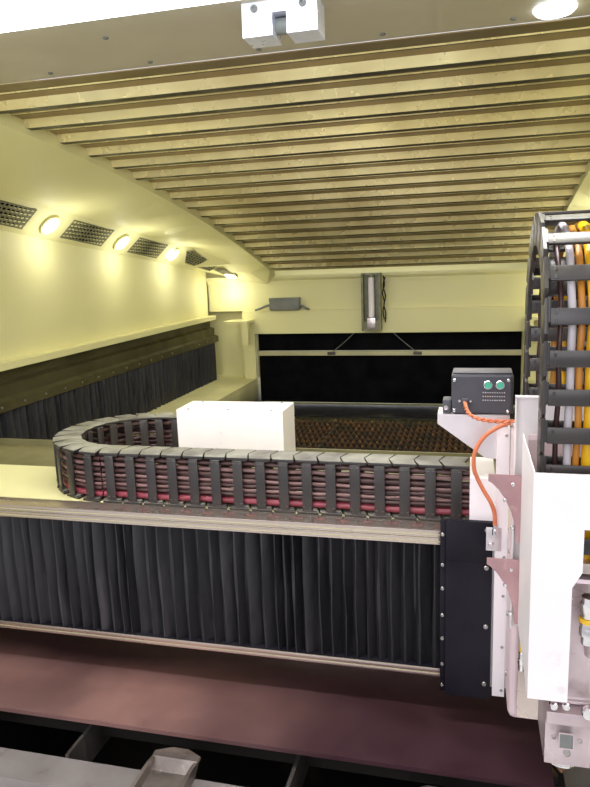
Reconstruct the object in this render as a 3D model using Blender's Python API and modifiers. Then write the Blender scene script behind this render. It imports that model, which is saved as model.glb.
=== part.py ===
# Fiber laser cutting machine: cabin with curved ribbed roof, slat pallet, moving gantry and cutting head.
# Units are metres, +Z up, +X along the gantry, +Y from the open front to the rear.
# The origin is on the floor, under the middle of the cabin.

import math

import bmesh
import bpy
from mathutils import Matrix, Vector

GAP = 0.0003
OVERRUN = 0.02
FLAT_ANGLE = math.radians(0.2)

# Cabin
CABIN_WIDTH = 3.1
CABIN_LENGTH = 4.1
SKIN = 0.03
SKIN_BOTTOM = 0.1
SKIN_SEAM_DEPTH = 0.004
SKIN_SEAM_WIDTH = 0.008
SKIN_SEAM_COUNT = 3

# Machine base with its two side beds
BED_INNER_HALF = 0.945
BED_TOP = 1.07
BED_BOTTOM = 0.06
BED_FLOOR_TOP = 0.13
BED_FLOOR_THICK = 0.03
CROSS_BEAM_LENGTH = 0.1
CROSS_BEAM_BOTTOM = 0.3
CROSS_BEAM_TOP = 0.62
FOOT_RADIUS = 0.07
FOOT_INSET = 0.16
PALLET_LEDGE_WIDTH = 0.08
PALLET_LEDGE_TOP = 0.735
PALLET_LEDGE_THICK = 0.04
BRIDGE_LENGTH = 0.36
BRIDGE_TOP = 0.87
BRIDGE_THICK = 0.012

# Walls above the beds
BELLOWS_PLANE = 1.23
WALL_PLANE = 1.3
WALL_THICK = 0.02
WALL_BOTTOM = 1.515
WALL_LIP = 0.03
WALL_LIP_REACH = 0.06
RAIL_COVER_BOTTOM = 1.351
RAIL_COVER_FRONT_HEIGHT = 0.041
RAIL_COVER_PLATE = 0.03
RAIL_COVER_STEP = 0.03
RAIL_COVER_LEDGE = 0.06
GUIDE_RAIL_X = 1.38
GUIDE_RAIL_WIDTH = 0.035
GUIDE_RAIL_HEIGHT = 0.036

# Curved roof, an arc seen from the side that falls towards the rear
ROOF_RADIUS = 14.65
ROOF_CENTRE_Y = -2.121
ROOF_CENTRE_Z = -12.22
ROOF_FRONT_Y = -1.2
ROOF_REAR_Y = 1.95
ROOF_LEFT_X = -0.77
ROOF_RIGHT_X = 1.04
RIB_COUNT = 17
RIB_DEPTH = 0.03
RIB_SHEET = 0.004
RIB_CREST_SHARE = 0.2
RIB_SLOPE_SHARE = 0.16

# Air ducts between the roof and the walls
DUCT_EDGE_DROP = 0.045
DUCT_FACET_REACH = 0.12
DUCT_FACET_RISE = 0.115
DUCT_TAIL_Y = 1.4
DUCT_TAIL_INSET = 0.06
DUCT_TAIL_DROP = 0.105
DUCT_GROOVE_Z = 2.243
DUCT_GROOVE_SLOPE = 0.096
DUCT_HEIGHT = 0.14
DUCT_STATIONS = 10
DUCT_TAIL_STATIONS = 4
GRILLE_COUNT = 4
GRILLE_PITCH = 0.65
GRILLE_FIRST_Y = -0.437
GRILLE_LENGTH = 0.36
GRILLE_SLOT_COUNT = 5
GRILLE_SLOT_WIDTH = 0.013
GRILLE_SLOT_PITCH = 0.021
GRILLE_DEPTH = 0.012
LAMP_COUNT = 4
LAMP_RADIUS = 0.045
LAMP_HEIGHT = 0.008

# Front header
HEADER_Z = 2.4
HEADER_HEIGHT = 0.12
LIGHT_BAR_LENGTH = 1.6
LIGHT_BAR_WIDTH = 0.09
LIGHT_BAR_HEIGHT = 0.03
LIGHT_BAR_REAR_Y = -1.61
LIGHT_BAR_EDGE = 0.012
DOOR_BLOCK_X = 0.235
DOOR_BLOCK_WIDTH = 0.15
DOOR_BLOCK_LENGTH = 0.07
DOOR_BLOCK_HEIGHT = 0.062
DOOR_BLOCK_TOP = 0.022
DOOR_BLOCK_REAR_Y = -1.45
DOOR_BLOCK_GAP_SHARE = 0.19

# Rear end
PORTAL_FRONT_Y = 1.9
PORTAL_DEPTH = 0.05
PORTAL_BEAM_BOTTOM = 1.403
PORTAL_BEAM_TOP = 1.57
PORTAL_POST_WIDTH = 0.09
PORTAL_SHELF_REACH = 0.16
PORTAL_SHELF_THICK = 0.02
PORTAL_SHELF_DROP = 0.06
PORTAL_ARM_WIDTH = 0.045
PORTAL_ARM_LENGTH = 0.17
PORTAL_ROLLER_RADIUS = 0.022
REAR_WALL_THICK = 0.02
REAR_WALL_LEDGE = 0.035
JUNCTION_BOX_X = -0.704
JUNCTION_BOX_WIDTH = 0.22
JUNCTION_BOX_HEIGHT = 0.084
JUNCTION_BOX_DEPTH = 0.06
JUNCTION_BOX_LIFT = 0.006

# Curtain of the rear doorway with its lifting cylinder
CURTAIN_HALF = 0.935
CURTAIN_THICK = 0.004
CURTAIN_BOTTOM = 0.885
CURTAIN_TOP = 1.43
BAR_BOTTOM = 1.236
BAR_HEIGHT = 0.036
BAR_DEPTH = 0.015
CYLINDER_X = -0.07
CYLINDER_WIDTH = 0.134
CYLINDER_DEPTH = 0.069
CYLINDER_BOTTOM = 1.425
CYLINDER_TOP = 1.82
CYLINDER_WALL = 0.014
CYLINDER_TUBE_RADIUS = 0.021
CYLINDER_BLOCK_HEIGHT = 0.07
CYLINDER_STANDOFF = 0.011
ROPE_RADIUS = 0.003
ROPE_SPREAD = 0.31
ROPE_TOP_Z = 1.46

# Pallet
PALLET_HALF = 0.92
PALLET_FRONT_Y = -1.825
PALLET_REAR_Y = 1.5
PALLET_BEAM_WIDTH = 0.08
PALLET_BEAM_TOP = 0.85
PALLET_BEAM_BOTTOM = 0.75
PALLET_SIDE_WIDTH = 0.12
PALLET_SIDE_HEIGHT = 0.085
PALLET_CROSS_HEIGHT = 0.04
PALLET_CROSS_COUNT = 3
SLAT_COUNT = 31
SLAT_PITCH = 0.1
SLAT_FIRST_Y = -1.6
SLAT_HALF_LENGTH = 0.785
SLAT_THICK = 0.003
SLAT_BOTTOM = 0.8
SLAT_TEETH = 7
SLAT_TOOTH_HEIGHT = 0.026
HOLDER_PITCH = 0.5
HOLDER_COUNT = 4
HOLDER_THICK = 0.008
HOLDER_TOP = 0.858
SHEET_TOP = 0.9
SHEET_THICK = 0.01
SHEET_WIDTH = 1.5
SHEET_LENGTH = 2.1
SHEET_FRONT_Y = -1.68
SHEET_CENTRE_X = 0.015
HOOK_PITCH = 0.545
HOOK_WIDTH = 0.105
HOOK_PLATE = 0.008
HOOK_LENGTH = 0.13
HOOK_RISE = 0.026
HOOK_FLANGE = 0.03
HOOK_TIP_SHARE = 0.35
HOOK_TONGUE = 0.07
HOOK_BOLT_RADIUS = 0.01
HOOK_BOLT_HEIGHT = 0.009

# Gantry
GANTRY_FRONT_Y = -1.49
BEAM_HALF = 0.925
BEAM_END_HALF = 1.2
BEAM_TOP = 1.327
BEAM_BOTTOM = 1.01
BEAM_END_BOTTOM = 1.09
BEAM_TOP_PLATE = 0.03
BEAM_TOP_FRONT = 0.057
BEAM_TOP_DEPTH = 0.268
BEAM_WEB_SETBACK = 0.115
TRACK_THICK = 0.025
TRACK_GROOVE = 0.006
TRAY_DEPTH = 0.225
TRAY_THICK = 0.012
TRAY_RIM = 0.02
TRAY_RIM_THICK = 0.006
X_RAIL_HEIGHT = 0.03
X_RAIL_DEPTH = 0.022
X_RAIL_LOW_Z = 1.08
X_RAIL_HIGH_Z = 1.23
TRUCK_WIDTH = 0.16
TRUCK_LENGTH = 0.44
TRUCK_HEIGHT = 0.17

# Bellows
BELLOWS_DEPTH = 0.028
BELLOWS_BACK = 0.006
X_PLEAT_PITCH = 0.028
X_PACK_PLEATS = 8
RAIL_PLEAT_PITCH = 0.05
RAIL_PACK_PLEATS = 8
RAIL_BELLOWS_FRONT_Y = -2.0
RAIL_BELLOWS_REAR_Y = 1.86

# Energy chains: one lies on its side on the gantry, one stands over the cutting head
LINK_PITCH = 0.056
LINK_PLATE = 0.009
LINK_RELIEF = 0.003
LINK_SEAM = 0.0105
LINK_CHEVRON = 0.012
LINK_BAR_WIDTH = 0.024
LINK_BAR_THICK = 0.006
X_CHAIN_RADIUS = 0.1975
X_CHAIN_LINK = 0.075
X_CHAIN_WIDTH = 0.13
X_CHAIN_RIGHT_X = 0.601
X_CHAIN_FRONT_LINKS = 16
X_CHAIN_LOOP_LINKS = 11
X_CHAIN_REAR_LINKS = 6
X_CHAIN_FRONT_SETBACK = 0.0925
Z_CHAIN_RADIUS = 0.159
Z_CHAIN_LINK = 0.052
Z_CHAIN_WIDTH = 0.13
Z_CHAIN_LEFT_X = 0.7
Z_CHAIN_CENTRE_Y = -1.695
Z_CHAIN_CENTRE_Z = 1.785
Z_CHAIN_FRONT_LINKS = 6
Z_CHAIN_ARCH_LINKS = 9
Z_CHAIN_BACK_LINKS = 3
CHAIN_BOX_LEFT_X = -0.24
CHAIN_BOX_LENGTH = 0.325
CHAIN_BOX_DEPTH = 0.15
CHAIN_BOX_HEIGHT = 0.163
CHAIN_BOX_WALL = 0.003

# Carriage on the front of the gantry
SADDLE_LEFT_X = 0.556
SADDLE_RIGHT_X = 0.86
SADDLE_PLATE = 0.02
SADDLE_LOW_Z = 0.99
SADDLE_HIGH_Z = 1.34
SADDLE_STANDOFF = 0.005
SADDLE_BLOCK_INSET = 0.04
SADDLE_BLOCK_LOW_Z = 1.04
SADDLE_BLOCK_HIGH_Z = 1.27
SLIDE_CLEARANCE = 0.001
CHAIN_ARM_WIDTH = 0.05
CHAIN_ARM_LIFT = 0.006
BLACK_COVER_LEFT_X = 0.554
BLACK_COVER_RIGHT_X = 0.648
BLACK_COVER_LOW_Z = 0.967
BLACK_COVER_HIGH_Z = 1.367
BLACK_COVER_PLATE = 0.003
BLACK_COVER_RETURN = 0.012
STRIP_LEFT_X = 0.652
STRIP_WIDTH = 0.0245
STRIP_LOW_Z = 0.985
STRIP_HIGH_Z = 1.57
STRIP_DEPTH = 0.024
STRIP_WALL = 0.003
COLUMN_LEFT_X = 0.677
COLUMN_DEPTH = 0.12
COLUMN_LOW_Z = 1.02
COLUMN_HIGH_Z = 1.59
COLUMN_BEVEL = 0.012
Z_RAIL_WIDTH = 0.016
Z_RAIL_HEIGHT = 0.02
Z_RAIL_INSET = 0.045
CHANNEL_PLATE = 0.004
CHANNEL_RIM = 0.016
CHANNEL_LEG = 0.024
CHANNEL_LOW_Z = 1.22
CHANNEL_HIGH_Z = 1.659
CONTROL_BOX_LEFT_X = 0.563
CONTROL_BOX_WIDTH = 0.12
CONTROL_BOX_HEIGHT = 0.082
SOCKET_SHARES = (0.13, 0.37)
CONTROL_BOX_DEPTH = 0.065
CONTROL_BOX_LOW_Z = 1.59
CONTROL_BOX_BEVEL = 0.006
BRACKET_PLATE = 0.0035
BRACKET_LEFT = 0.027
BRACKET_DROP = 0.09
BRACKET_CHEEK = 0.02
BUTTON_RADIUS = 0.0065
BUTTON_HEIGHT = 0.006
BUTTON_PITCH = 0.0235
BUTTON_FIRST_SHARE = 0.59
BUTTON_HEIGHT_SHARE = 0.73
BUTTON_CLEARANCE = 0.0004
BUTTON_STEM = 0.008
ORANGE_CABLE_RADIUS = 0.0035

# Cutting head
HEAD_X = 0.755
HEAD_Y = -1.82
PLATE_THICK = 0.013
PLATE_LOW_Z = 1.05
PLATE_HIGH_Z = 1.45
PLATE_ARM_THICK = 0.016
BEARING_HEIGHT = 0.05
COVER_LEFT_X = 0.689
COVER_RIGHT_X = 0.835
COVER_FRONT_Y = -1.915
COVER_REAR_Y = -1.69
COVER_SHEET = 0.002
COVER_LOW_Z = 1.24
COVER_HIGH_Z = 1.597
COVER_SLOT_TOP = 1.515
COVER_SLOT_SHOULDER = 1.45
COVER_SLOT_WAIST = 1.425
COVER_SLOT_TOP_SHARE = 0.48
COVER_SLOT_WAIST_SHARE = 0.39
COVER_LEG_LOW_Z = 1.46
FIN_REACH = 0.056
FIN_SHEET = 0.003
FIN_UPPER_Z = 1.522
FIN_LOWER_Z = 1.364
FIN_HEIGHT = 0.125
FIN_TIP = 0.012
BODY_WIDTH = 0.072
BODY_DEPTH = 0.1
BODY_TOP = 1.42
BODY_BEVEL = 0.008
BLOCK_WIDTH = 0.068
BLOCK_DEPTH = 0.11
BLOCK_LOW_Z = 1.104
BLOCK_HIGH_Z = 1.205
BLOCK_CHAMFER = 0.014
WINDOW_WIDTH = 0.019
WINDOW_HEIGHT = 0.018
WINDOW_DEPTH = 0.012
WINDOW_Z = 1.152
KNOB_RADIUS = 0.008
KNOB_LENGTH = 0.012
RING_RADIUS = 0.029
RING_HEIGHT = 0.03
RING_CHAMFER = 0.006
RING_RIDGES = 36
RING_RIDGE_DEPTH = 0.0015
NOZZLE_TOP_RADIUS = 0.016
NOZZLE_TIP_RADIUS = 0.003
NOZZLE_LENGTH = 0.026
NOZZLE_COLLAR = 0.006
COUPLING_RADIUS = 0.012
COUPLING_LENGTH = 0.06
COUPLING_Z = 1.33
FIBRE_RADIUS = 0.0045
FIBRE_LOW_Z = 1.16
FIBRE_HIGH_Z = 1.43

PARTS = "fiber_laser_cutting_machine"
HELPERS = "cutters"

FRONT_Y = -CABIN_LENGTH / 2
REAR_Y = CABIN_LENGTH / 2
OUTER_X = CABIN_WIDTH / 2
BED_OUTER_X = OUTER_X - SKIN - GAP
RIB_PITCH = (ROOF_REAR_Y - ROOF_FRONT_Y) / RIB_COUNT
REAR_WALL_Y = PORTAL_FRONT_Y + PORTAL_DEPTH - REAR_WALL_THICK
DUCT_REAR_Y = REAR_WALL_Y - REAR_WALL_LEDGE - GAP
BEAM_TOP_Y = GANTRY_FRONT_Y + BEAM_TOP_FRONT
BEAM_BACK_Y = BEAM_TOP_Y + BEAM_TOP_DEPTH
WEB_Y = GANTRY_FRONT_Y + BEAM_WEB_SETBACK
TRAY_REAR_Y = BEAM_BACK_Y + TRAY_DEPTH
X_CHAIN_LOW_Z = BEAM_TOP + GAP
X_CHAIN_LOOP_X = X_CHAIN_RIGHT_X - X_CHAIN_FRONT_LINKS * LINK_PITCH
X_CHAIN_FRONT_Y = GANTRY_FRONT_Y + X_CHAIN_FRONT_SETBACK
SADDLE_BACK_Y = GANTRY_FRONT_Y - SADDLE_STANDOFF
SADDLE_FRONT_Y = SADDLE_BACK_Y - SADDLE_PLATE
COLUMN_BACK_Y = SADDLE_FRONT_Y - STRIP_DEPTH - GAP
COLUMN_FRONT_Y = COLUMN_BACK_Y - COLUMN_DEPTH
PLATE_BACK_Y = COLUMN_FRONT_Y - Z_RAIL_HEIGHT - SLIDE_CLEARANCE
PLATE_FRONT_Y = PLATE_BACK_Y - PLATE_THICK
SHEET_LOW_Z = SHEET_TOP - SHEET_THICK
SLAT_TIP = SHEET_LOW_Z - GAP
PALLET_LOW_Z = PALLET_LEDGE_TOP + GAP
CURTAIN_Y = PORTAL_FRONT_Y + PORTAL_DEPTH + GAP
BODY_BACK_Y = HEAD_Y + BODY_DEPTH / 2
BLOCK_FRONT_Y = HEAD_Y - BLOCK_DEPTH / 2


def clear_scene():
    for item in list(bpy.data.objects):
        bpy.data.objects.remove(item, do_unlink=True)


def new_collection(name):
    made = bpy.data.collections.new(name)
    bpy.context.scene.collection.children.link(made)
    return made


def finish(name, colour, roughness, metallic=0.0):
    made = bpy.data.materials.new(name)
    made.use_nodes = True
    shader = made.node_tree.nodes["Principled BSDF"]
    shader.inputs["Base Color"].default_value = (*colour, 1)
    shader.inputs["Roughness"].default_value = roughness
    shader.inputs["Metallic"].default_value = metallic
    made.diffuse_color = (*colour, 1)
    return made


clear_scene()
parts = new_collection(PARTS)
helpers = new_collection(HELPERS)

cream_paint = finish("cream_paint", (0.78, 0.74, 0.58), 0.45)
white_paint = finish("white_paint", (0.86, 0.84, 0.84), 0.4)
black_paint = finish("black_paint", (0.03, 0.03, 0.035), 0.4)
galvanised = finish("galvanised_sheet", (0.42, 0.38, 0.26), 0.4, 0.8)
bare_steel = finish("bare_steel", (0.5, 0.48, 0.45), 0.35, 1.0)
dark_steel = finish("dark_steel", (0.2, 0.19, 0.19), 0.5, 0.9)
stainless = finish("stainless", (0.6, 0.57, 0.55), 0.3, 1.0)
rusty_steel = finish("rusty_steel", (0.3, 0.16, 0.06), 0.75, 0.4)
plate_steel = finish("plate_steel", (0.36, 0.2, 0.19), 0.5, 0.5)
chain_plastic = finish("chain_plastic", (0.1, 0.1, 0.11), 0.5)
bellows_cloth = finish("bellows_cloth", (0.03, 0.03, 0.035), 0.7)
head_metal = finish("head_metal", (0.6, 0.57, 0.58), 0.35, 0.9)
chrome = finish("chrome", (0.75, 0.75, 0.76), 0.12, 1.0)
copper = finish("copper", (0.7, 0.4, 0.25), 0.3, 1.0)
lamp_glass = finish("lamp_glass", (0.95, 0.97, 1.0), 0.2)
grey_plastic = finish("grey_plastic", (0.25, 0.27, 0.26), 0.5)
box_plastic = finish("box_plastic", (0.06, 0.06, 0.07), 0.45)
green_plastic = finish("green_plastic", (0.05, 0.4, 0.25), 0.35)
orange_sleeve = finish("orange_sleeve", (0.85, 0.28, 0.1), 0.5)
yellow_sleeve = finish("yellow_sleeve", (0.95, 0.65, 0.03), 0.4)


def empty_at(name, location, parent=None):
    made = bpy.data.objects.new(name, None)
    made.location = location
    parts.objects.link(made)
    if parent is not None:
        keep_world(made, parent)
    return made


def keep_world(item, holder):
    """Parent an item to an empty, with the item's own values still in world space."""
    item.parent = holder
    item.matrix_parent_inverse = Matrix.Translation(holder.location).inverted()


machine = empty_at("machine_frame", (0, 0, 0))
pallet = empty_at("pallet", (0, PALLET_FRONT_Y, PALLET_LOW_Z), machine)
gantry = empty_at("gantry", (0, GANTRY_FRONT_Y, BEAM_BOTTOM), machine)
loop = empty_at("chain_loop", (X_CHAIN_LOOP_X, X_CHAIN_FRONT_Y, BEAM_TOP), gantry)
carriage = empty_at("carriage", (SADDLE_LEFT_X, SADDLE_FRONT_Y, SADDLE_LOW_Z), gantry)
head = empty_at("head", (HEAD_X, HEAD_Y, BLOCK_LOW_Z), carriage)
curtain = empty_at("lift_curtain", (CYLINDER_X, CURTAIN_Y, BAR_BOTTOM), machine)


def place(name, mesh, surface, holder, matrix):
    """Put a mesh in the scene: a part under its holder, or with no holder a helper for a Boolean."""
    made = bpy.data.objects.new(name, mesh)
    if not mesh.materials:
        mesh.materials.append(surface)
    if holder is None:
        helpers.objects.link(made)
        made.hide_render = True
        made.display_type = "WIRE"
    else:
        parts.objects.link(made)
        keep_world(made, holder)
    made.matrix_basis = matrix
    return made


def bevel(item, width, segments=2, angle=math.radians(40)):
    made = item.modifiers.new("bevel", "BEVEL")
    made.width = width
    made.segments = segments
    made.limit_method = "ANGLE"
    made.angle_limit = angle
    return item


def block(name, low, high, surface=None, holder=None):
    """A box between two corners, made from a unit cube."""
    size = [high[i] - low[i] for i in range(3)]
    middle = [(high[i] + low[i]) / 2 for i in range(3)]
    sketch = bmesh.new()
    bmesh.ops.create_cube(sketch, size=1)
    bmesh.ops.scale(sketch, vec=size, verts=sketch.verts)
    mesh = bpy.data.meshes.new(name)
    sketch.to_mesh(mesh)
    sketch.free()
    return place(name, mesh, surface, holder, Matrix.Translation(middle))


# Each plane gives the world directions of an outline's two coordinates and of its thickness.
PLANES = {
    "XY": Matrix(((1, 0, 0), (0, 1, 0), (0, 0, 1))).transposed(),
    "YZ": Matrix(((0, 1, 0), (0, 0, 1), (1, 0, 0))).transposed(),
    "XZ": Matrix(((1, 0, 0), (0, 0, 1), (0, -1, 0))).transposed(),
    "YX": Matrix(((0, 1, 0), (1, 0, 0), (0, 0, -1))).transposed(),
}


def outline(name, points, plane, start, end, surface=None, holder=None):
    """A flat outline in one of the world's planes, from start to end along the third axis.

    The object's own origin is at the outline's first point.
    """
    curve = bpy.data.curves.new(name, "CURVE")
    curve.dimensions = "2D"
    curve.fill_mode = "BOTH"
    curve.extrude = abs(end - start) / 2
    spline = curve.splines.new("POLY")
    spline.points.add(len(points) - 1)
    origin = points[0]
    for target, point in zip(spline.points, points):
        target.co = (point[0] - origin[0], point[1] - origin[1], 0, 1)
    spline.use_cyclic_u = True
    rotation = PLANES[plane]
    sign = -1 if plane in ("XZ", "YX") else 1
    offset = rotation @ Vector((*origin, sign * (start + end) / 2))
    matrix = Matrix.Translation(offset) @ rotation.to_4x4()
    return solid_from_curve(name, curve, surface, holder, matrix)


def solid_from_curve(name, curve, surface, holder, matrix):
    """The closed mesh of a curve, with its caps welded to its sides."""
    drawn = bpy.data.objects.new(name + "_curve", curve)
    mesh = bpy.data.meshes.new_from_object(drawn)
    bpy.data.objects.remove(drawn, do_unlink=True)
    sketch = bmesh.new()
    sketch.from_mesh(mesh)
    bmesh.ops.remove_doubles(sketch, verts=sketch.verts, dist=GAP / 10)
    bmesh.ops.dissolve_limit(sketch, angle_limit=FLAT_ANGLE, verts=sketch.verts, edges=sketch.edges)
    bmesh.ops.recalc_face_normals(sketch, faces=sketch.faces)
    sketch.to_mesh(mesh)
    sketch.free()
    mesh.name = name
    mesh.materials.clear()
    return place(name, mesh, surface, holder, matrix)


def rod(name, radius, start, end, surface=None, holder=None, sides=24, end_radius=None):
    """A round bar or cone from start to end."""
    axis = Vector(end) - Vector(start)
    sketch = bmesh.new()
    bmesh.ops.create_cone(
        sketch,
        cap_ends=True,
        segments=sides,
        radius1=radius,
        radius2=radius if end_radius is None else end_radius,
        depth=axis.length,
    )
    mesh = bpy.data.meshes.new(name)
    sketch.to_mesh(mesh)
    sketch.free()
    mesh.shade_smooth()
    mesh.set_sharp_from_angle(angle=math.radians(40))
    turn = axis.to_track_quat("Z", "Y").to_matrix().to_4x4()
    middle = (Vector(start) + Vector(end)) / 2
    return place(name, mesh, surface, holder, Matrix.Translation(middle) @ turn)


def cable(name, route, radius, surface, holder, count=40):
    """A round cable along a smooth curve through the route's points."""
    curve = bpy.data.curves.new(name, "CURVE")
    curve.dimensions = "3D"
    curve.bevel_depth = radius
    curve.bevel_resolution = 2
    curve.use_fill_caps = True
    points = smooth_route(route, count)
    spline = curve.splines.new("POLY")
    spline.points.add(len(points) - 1)
    for target, point in zip(spline.points, points):
        target.co = (*point, 1)
    return solid_from_curve(name, curve, surface, holder, Matrix.Identity(4))


def smooth_route(route, count):
    """Points read from a Catmull-Rom curve through the route."""
    knots = [Vector(point) for point in route]
    knots = [2 * knots[0] - knots[1]] + knots + [2 * knots[-1] - knots[-2]]
    spans = len(knots) - 3
    points = []
    for step in range(count + 1):
        at = step * spans / count
        first = min(int(at), spans - 1)
        t = at - first
        a, b, c, d = knots[first : first + 4]
        points.append(
            (b * 2 + (c - a) * t + (a * 2 - b * 5 + c * 4 - d) * t**2 + (b * 3 - a - c * 3 + d) * t**3) / 2
        )
    return points


def combine(target, operands, operation="UNION"):
    """Join the operands to the target, or cut them from it, in one exact Boolean."""
    group = bpy.data.collections.new(target.name + "_" + operation.lower())
    helpers.children.link(group)
    for item in operands:
        helpers.objects.unlink(item)
        group.objects.link(item)
    made = target.modifiers.new(operation.lower(), "BOOLEAN")
    made.operation = operation
    made.operand_type = "COLLECTION"
    made.collection = group
    made.solver = "EXACT"
    return target


def roof_height(y):
    """Height of the roof line at a place along the cabin, flat in front of the arc."""
    along = max(y, ROOF_FRONT_Y) - ROOF_CENTRE_Y
    return ROOF_CENTRE_Z + math.sqrt(ROOF_RADIUS**2 - along**2)


def groove_height(y):
    """Height of the joint between a wall panel and the duct above it."""
    return DUCT_GROOVE_Z - DUCT_GROOVE_SLOPE * (y - FRONT_Y)


def crease_place(y, edge):
    """Half width and height of the crease between the slotted facet and the panel that runs to the roof edge."""
    share = max(0, (y - DUCT_TAIL_Y) / (DUCT_REAR_Y - DUCT_TAIL_Y))
    facet = (WALL_PLANE - DUCT_FACET_REACH, groove_height(y) + DUCT_FACET_RISE)
    tail = (edge + DUCT_TAIL_INSET, roof_height(y) - DUCT_TAIL_DROP)
    return tuple(near + share * (far - near) for near, far in zip(facet, tail))


def make_base():
    """Side beds with the gantry's guide rails, floor, cross beams, pallet ledges, bridge plate and feet."""
    length = CABIN_LENGTH - 2 * SKIN
    low_y, high_y = -length / 2, length / 2
    left = (-BED_OUTER_X, low_y, BED_BOTTOM)
    base = block("machine_base", left, (-BED_INNER_HALF, high_y, BED_TOP), cream_paint, machine)
    wide = BED_INNER_HALF + OVERRUN
    pieces = [
        block("bed", (BED_INNER_HALF, low_y, BED_BOTTOM), (BED_OUTER_X, high_y, BED_TOP)),
        block("floor", (-wide, low_y, BED_FLOOR_TOP - BED_FLOOR_THICK), (wide, high_y, BED_FLOOR_TOP)),
    ]
    for start in (low_y, -CROSS_BEAM_LENGTH / 2, high_y - CROSS_BEAM_LENGTH):
        low = (-wide, start, CROSS_BEAM_BOTTOM)
        pieces.append(block("cross_beam", low, (wide, start + CROSS_BEAM_LENGTH, CROSS_BEAM_TOP)))
    bridge_rear = PORTAL_FRONT_Y + PORTAL_DEPTH
    low = (-wide, bridge_rear - BRIDGE_LENGTH, BRIDGE_TOP - BRIDGE_THICK)
    pieces.append(block("bridge", low, (wide, bridge_rear, BRIDGE_TOP)))
    for side in (-1, 1):
        edges = sorted((side * (BED_INNER_HALF - PALLET_LEDGE_WIDTH), side * wide))
        low = (edges[0], low_y, PALLET_LEDGE_TOP - PALLET_LEDGE_THICK)
        pieces.append(block("ledge", low, (edges[1], bridge_rear - BRIDGE_LENGTH, PALLET_LEDGE_TOP)))
        for y in (low_y + FOOT_INSET, 0, high_y - FOOT_INSET):
            x = side * (BED_INNER_HALF + BED_OUTER_X) / 2
            pieces.append(rod("foot", FOOT_RADIUS, (x, y, 0), (x, y, BED_BOTTOM + OVERRUN), sides=20))
        x = side * GUIDE_RAIL_X
        low = (x - GUIDE_RAIL_WIDTH / 2, RAIL_BELLOWS_FRONT_Y, BED_TOP - OVERRUN)
        high = (x + GUIDE_RAIL_WIDTH / 2, RAIL_BELLOWS_REAR_Y, BED_TOP + GUIDE_RAIL_HEIGHT)
        pieces.append(block("guide_rail", low, high))
    combine(base, pieces)


def make_side_panels():
    """Outer skins whose upper edge follows the roof, with shallow vertical seams."""
    for name, side in (("left_side_panel", -1), ("right_side_panel", 1)):
        top = [(y, roof_height(y) + DUCT_HEIGHT) for y in duct_stations(FRONT_Y, REAR_Y)]
        points = [(FRONT_Y, SKIN_BOTTOM), (REAR_Y, SKIN_BOTTOM)] + top[::-1]
        edges = sorted((side * OUTER_X, side * (OUTER_X - SKIN)))
        panel = outline(name, points, "YZ", edges[0], edges[1], cream_paint, machine)
        seams = []
        for index in range(SKIN_SEAM_COUNT):
            y = FRONT_Y + CABIN_LENGTH * (index + 1) / (SKIN_SEAM_COUNT + 1)
            deep = sorted((side * (OUTER_X - SKIN_SEAM_DEPTH), side * (OUTER_X + OVERRUN)))
            low = (deep[0], y - SKIN_SEAM_WIDTH / 2, BED_BOTTOM)
            seams.append(block("seam", low, (deep[1], y + SKIN_SEAM_WIDTH / 2, HEADER_Z + CABIN_WIDTH)))
        combine(panel, seams, "DIFFERENCE")


def duct_stations(start, end):
    """Places along the cabin, with one where the roof starts to fall and more where the tail widens."""
    reach, tail = DUCT_TAIL_Y - ROOF_FRONT_Y, end - DUCT_TAIL_Y
    places = [ROOF_FRONT_Y + index / DUCT_STATIONS * reach for index in range(DUCT_STATIONS)]
    places += [DUCT_TAIL_Y + index / DUCT_TAIL_STATIONS * tail for index in range(DUCT_TAIL_STATIONS + 1)]
    return [start] + places


def duct_section(side, y):
    """Cross section of a duct: roof edge, crease, groove, and back over the top."""
    edge = -ROOF_LEFT_X if side < 0 else ROOF_RIGHT_X
    outer = OUTER_X - SKIN - GAP
    roof = roof_height(y)
    crease_x, crease_z = crease_place(y, edge)
    return [
        (side * (edge + GAP), y, roof - DUCT_EDGE_DROP),
        (side * crease_x, y, crease_z),
        (side * WALL_PLANE, y, groove_height(y)),
        (side * outer, y, groove_height(y)),
        (side * outer, y, roof + DUCT_HEIGHT),
        (side * (edge + GAP), y, roof + DUCT_HEIGHT),
    ]


def make_ducts():
    """Air ducts lofted along the falling roof, with slotted outlets and lamp discs underneath."""
    for name, side in (("left_duct", -1), ("right_duct", 1)):
        duct = loft(name, [duct_section(side, y) for y in duct_stations(FRONT_Y, DUCT_REAR_Y)], cream_paint)
        slots = []
        for index in range(GRILLE_COUNT):
            slots += grille_slots(side, GRILLE_FIRST_Y + index * GRILLE_PITCH)
        combine(duct, slots, "DIFFERENCE")
        lamps = []
        for index in range(LAMP_COUNT):
            y = GRILLE_FIRST_Y + (index + 1 / 2) * GRILLE_PITCH
            centre, normal = facet_frame(side, y)
            start, end = centre - normal * OVERRUN, centre + normal * LAMP_HEIGHT
            lamps.append(rod("lamp", LAMP_RADIUS, start, end, sides=20))
        combine(duct, lamps)


def loft(name, sections, surface):
    """A closed loft through sections with the same number of points, whichever way they turn."""
    sketch = bmesh.new()
    rings = [[sketch.verts.new(point) for point in section] for section in sections]
    for low, high in zip(rings, rings[1:]):
        for index in range(len(low)):
            after = (index + 1) % len(low)
            sketch.faces.new((low[index], low[after], high[after], high[index]))
    sketch.faces.new(rings[0][::-1])
    sketch.faces.new(rings[-1])
    bmesh.ops.recalc_face_normals(sketch, faces=sketch.faces)
    mesh = bpy.data.meshes.new(name)
    sketch.to_mesh(mesh)
    sketch.free()
    return place(name, mesh, surface, machine, Matrix.Identity(4))


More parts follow.
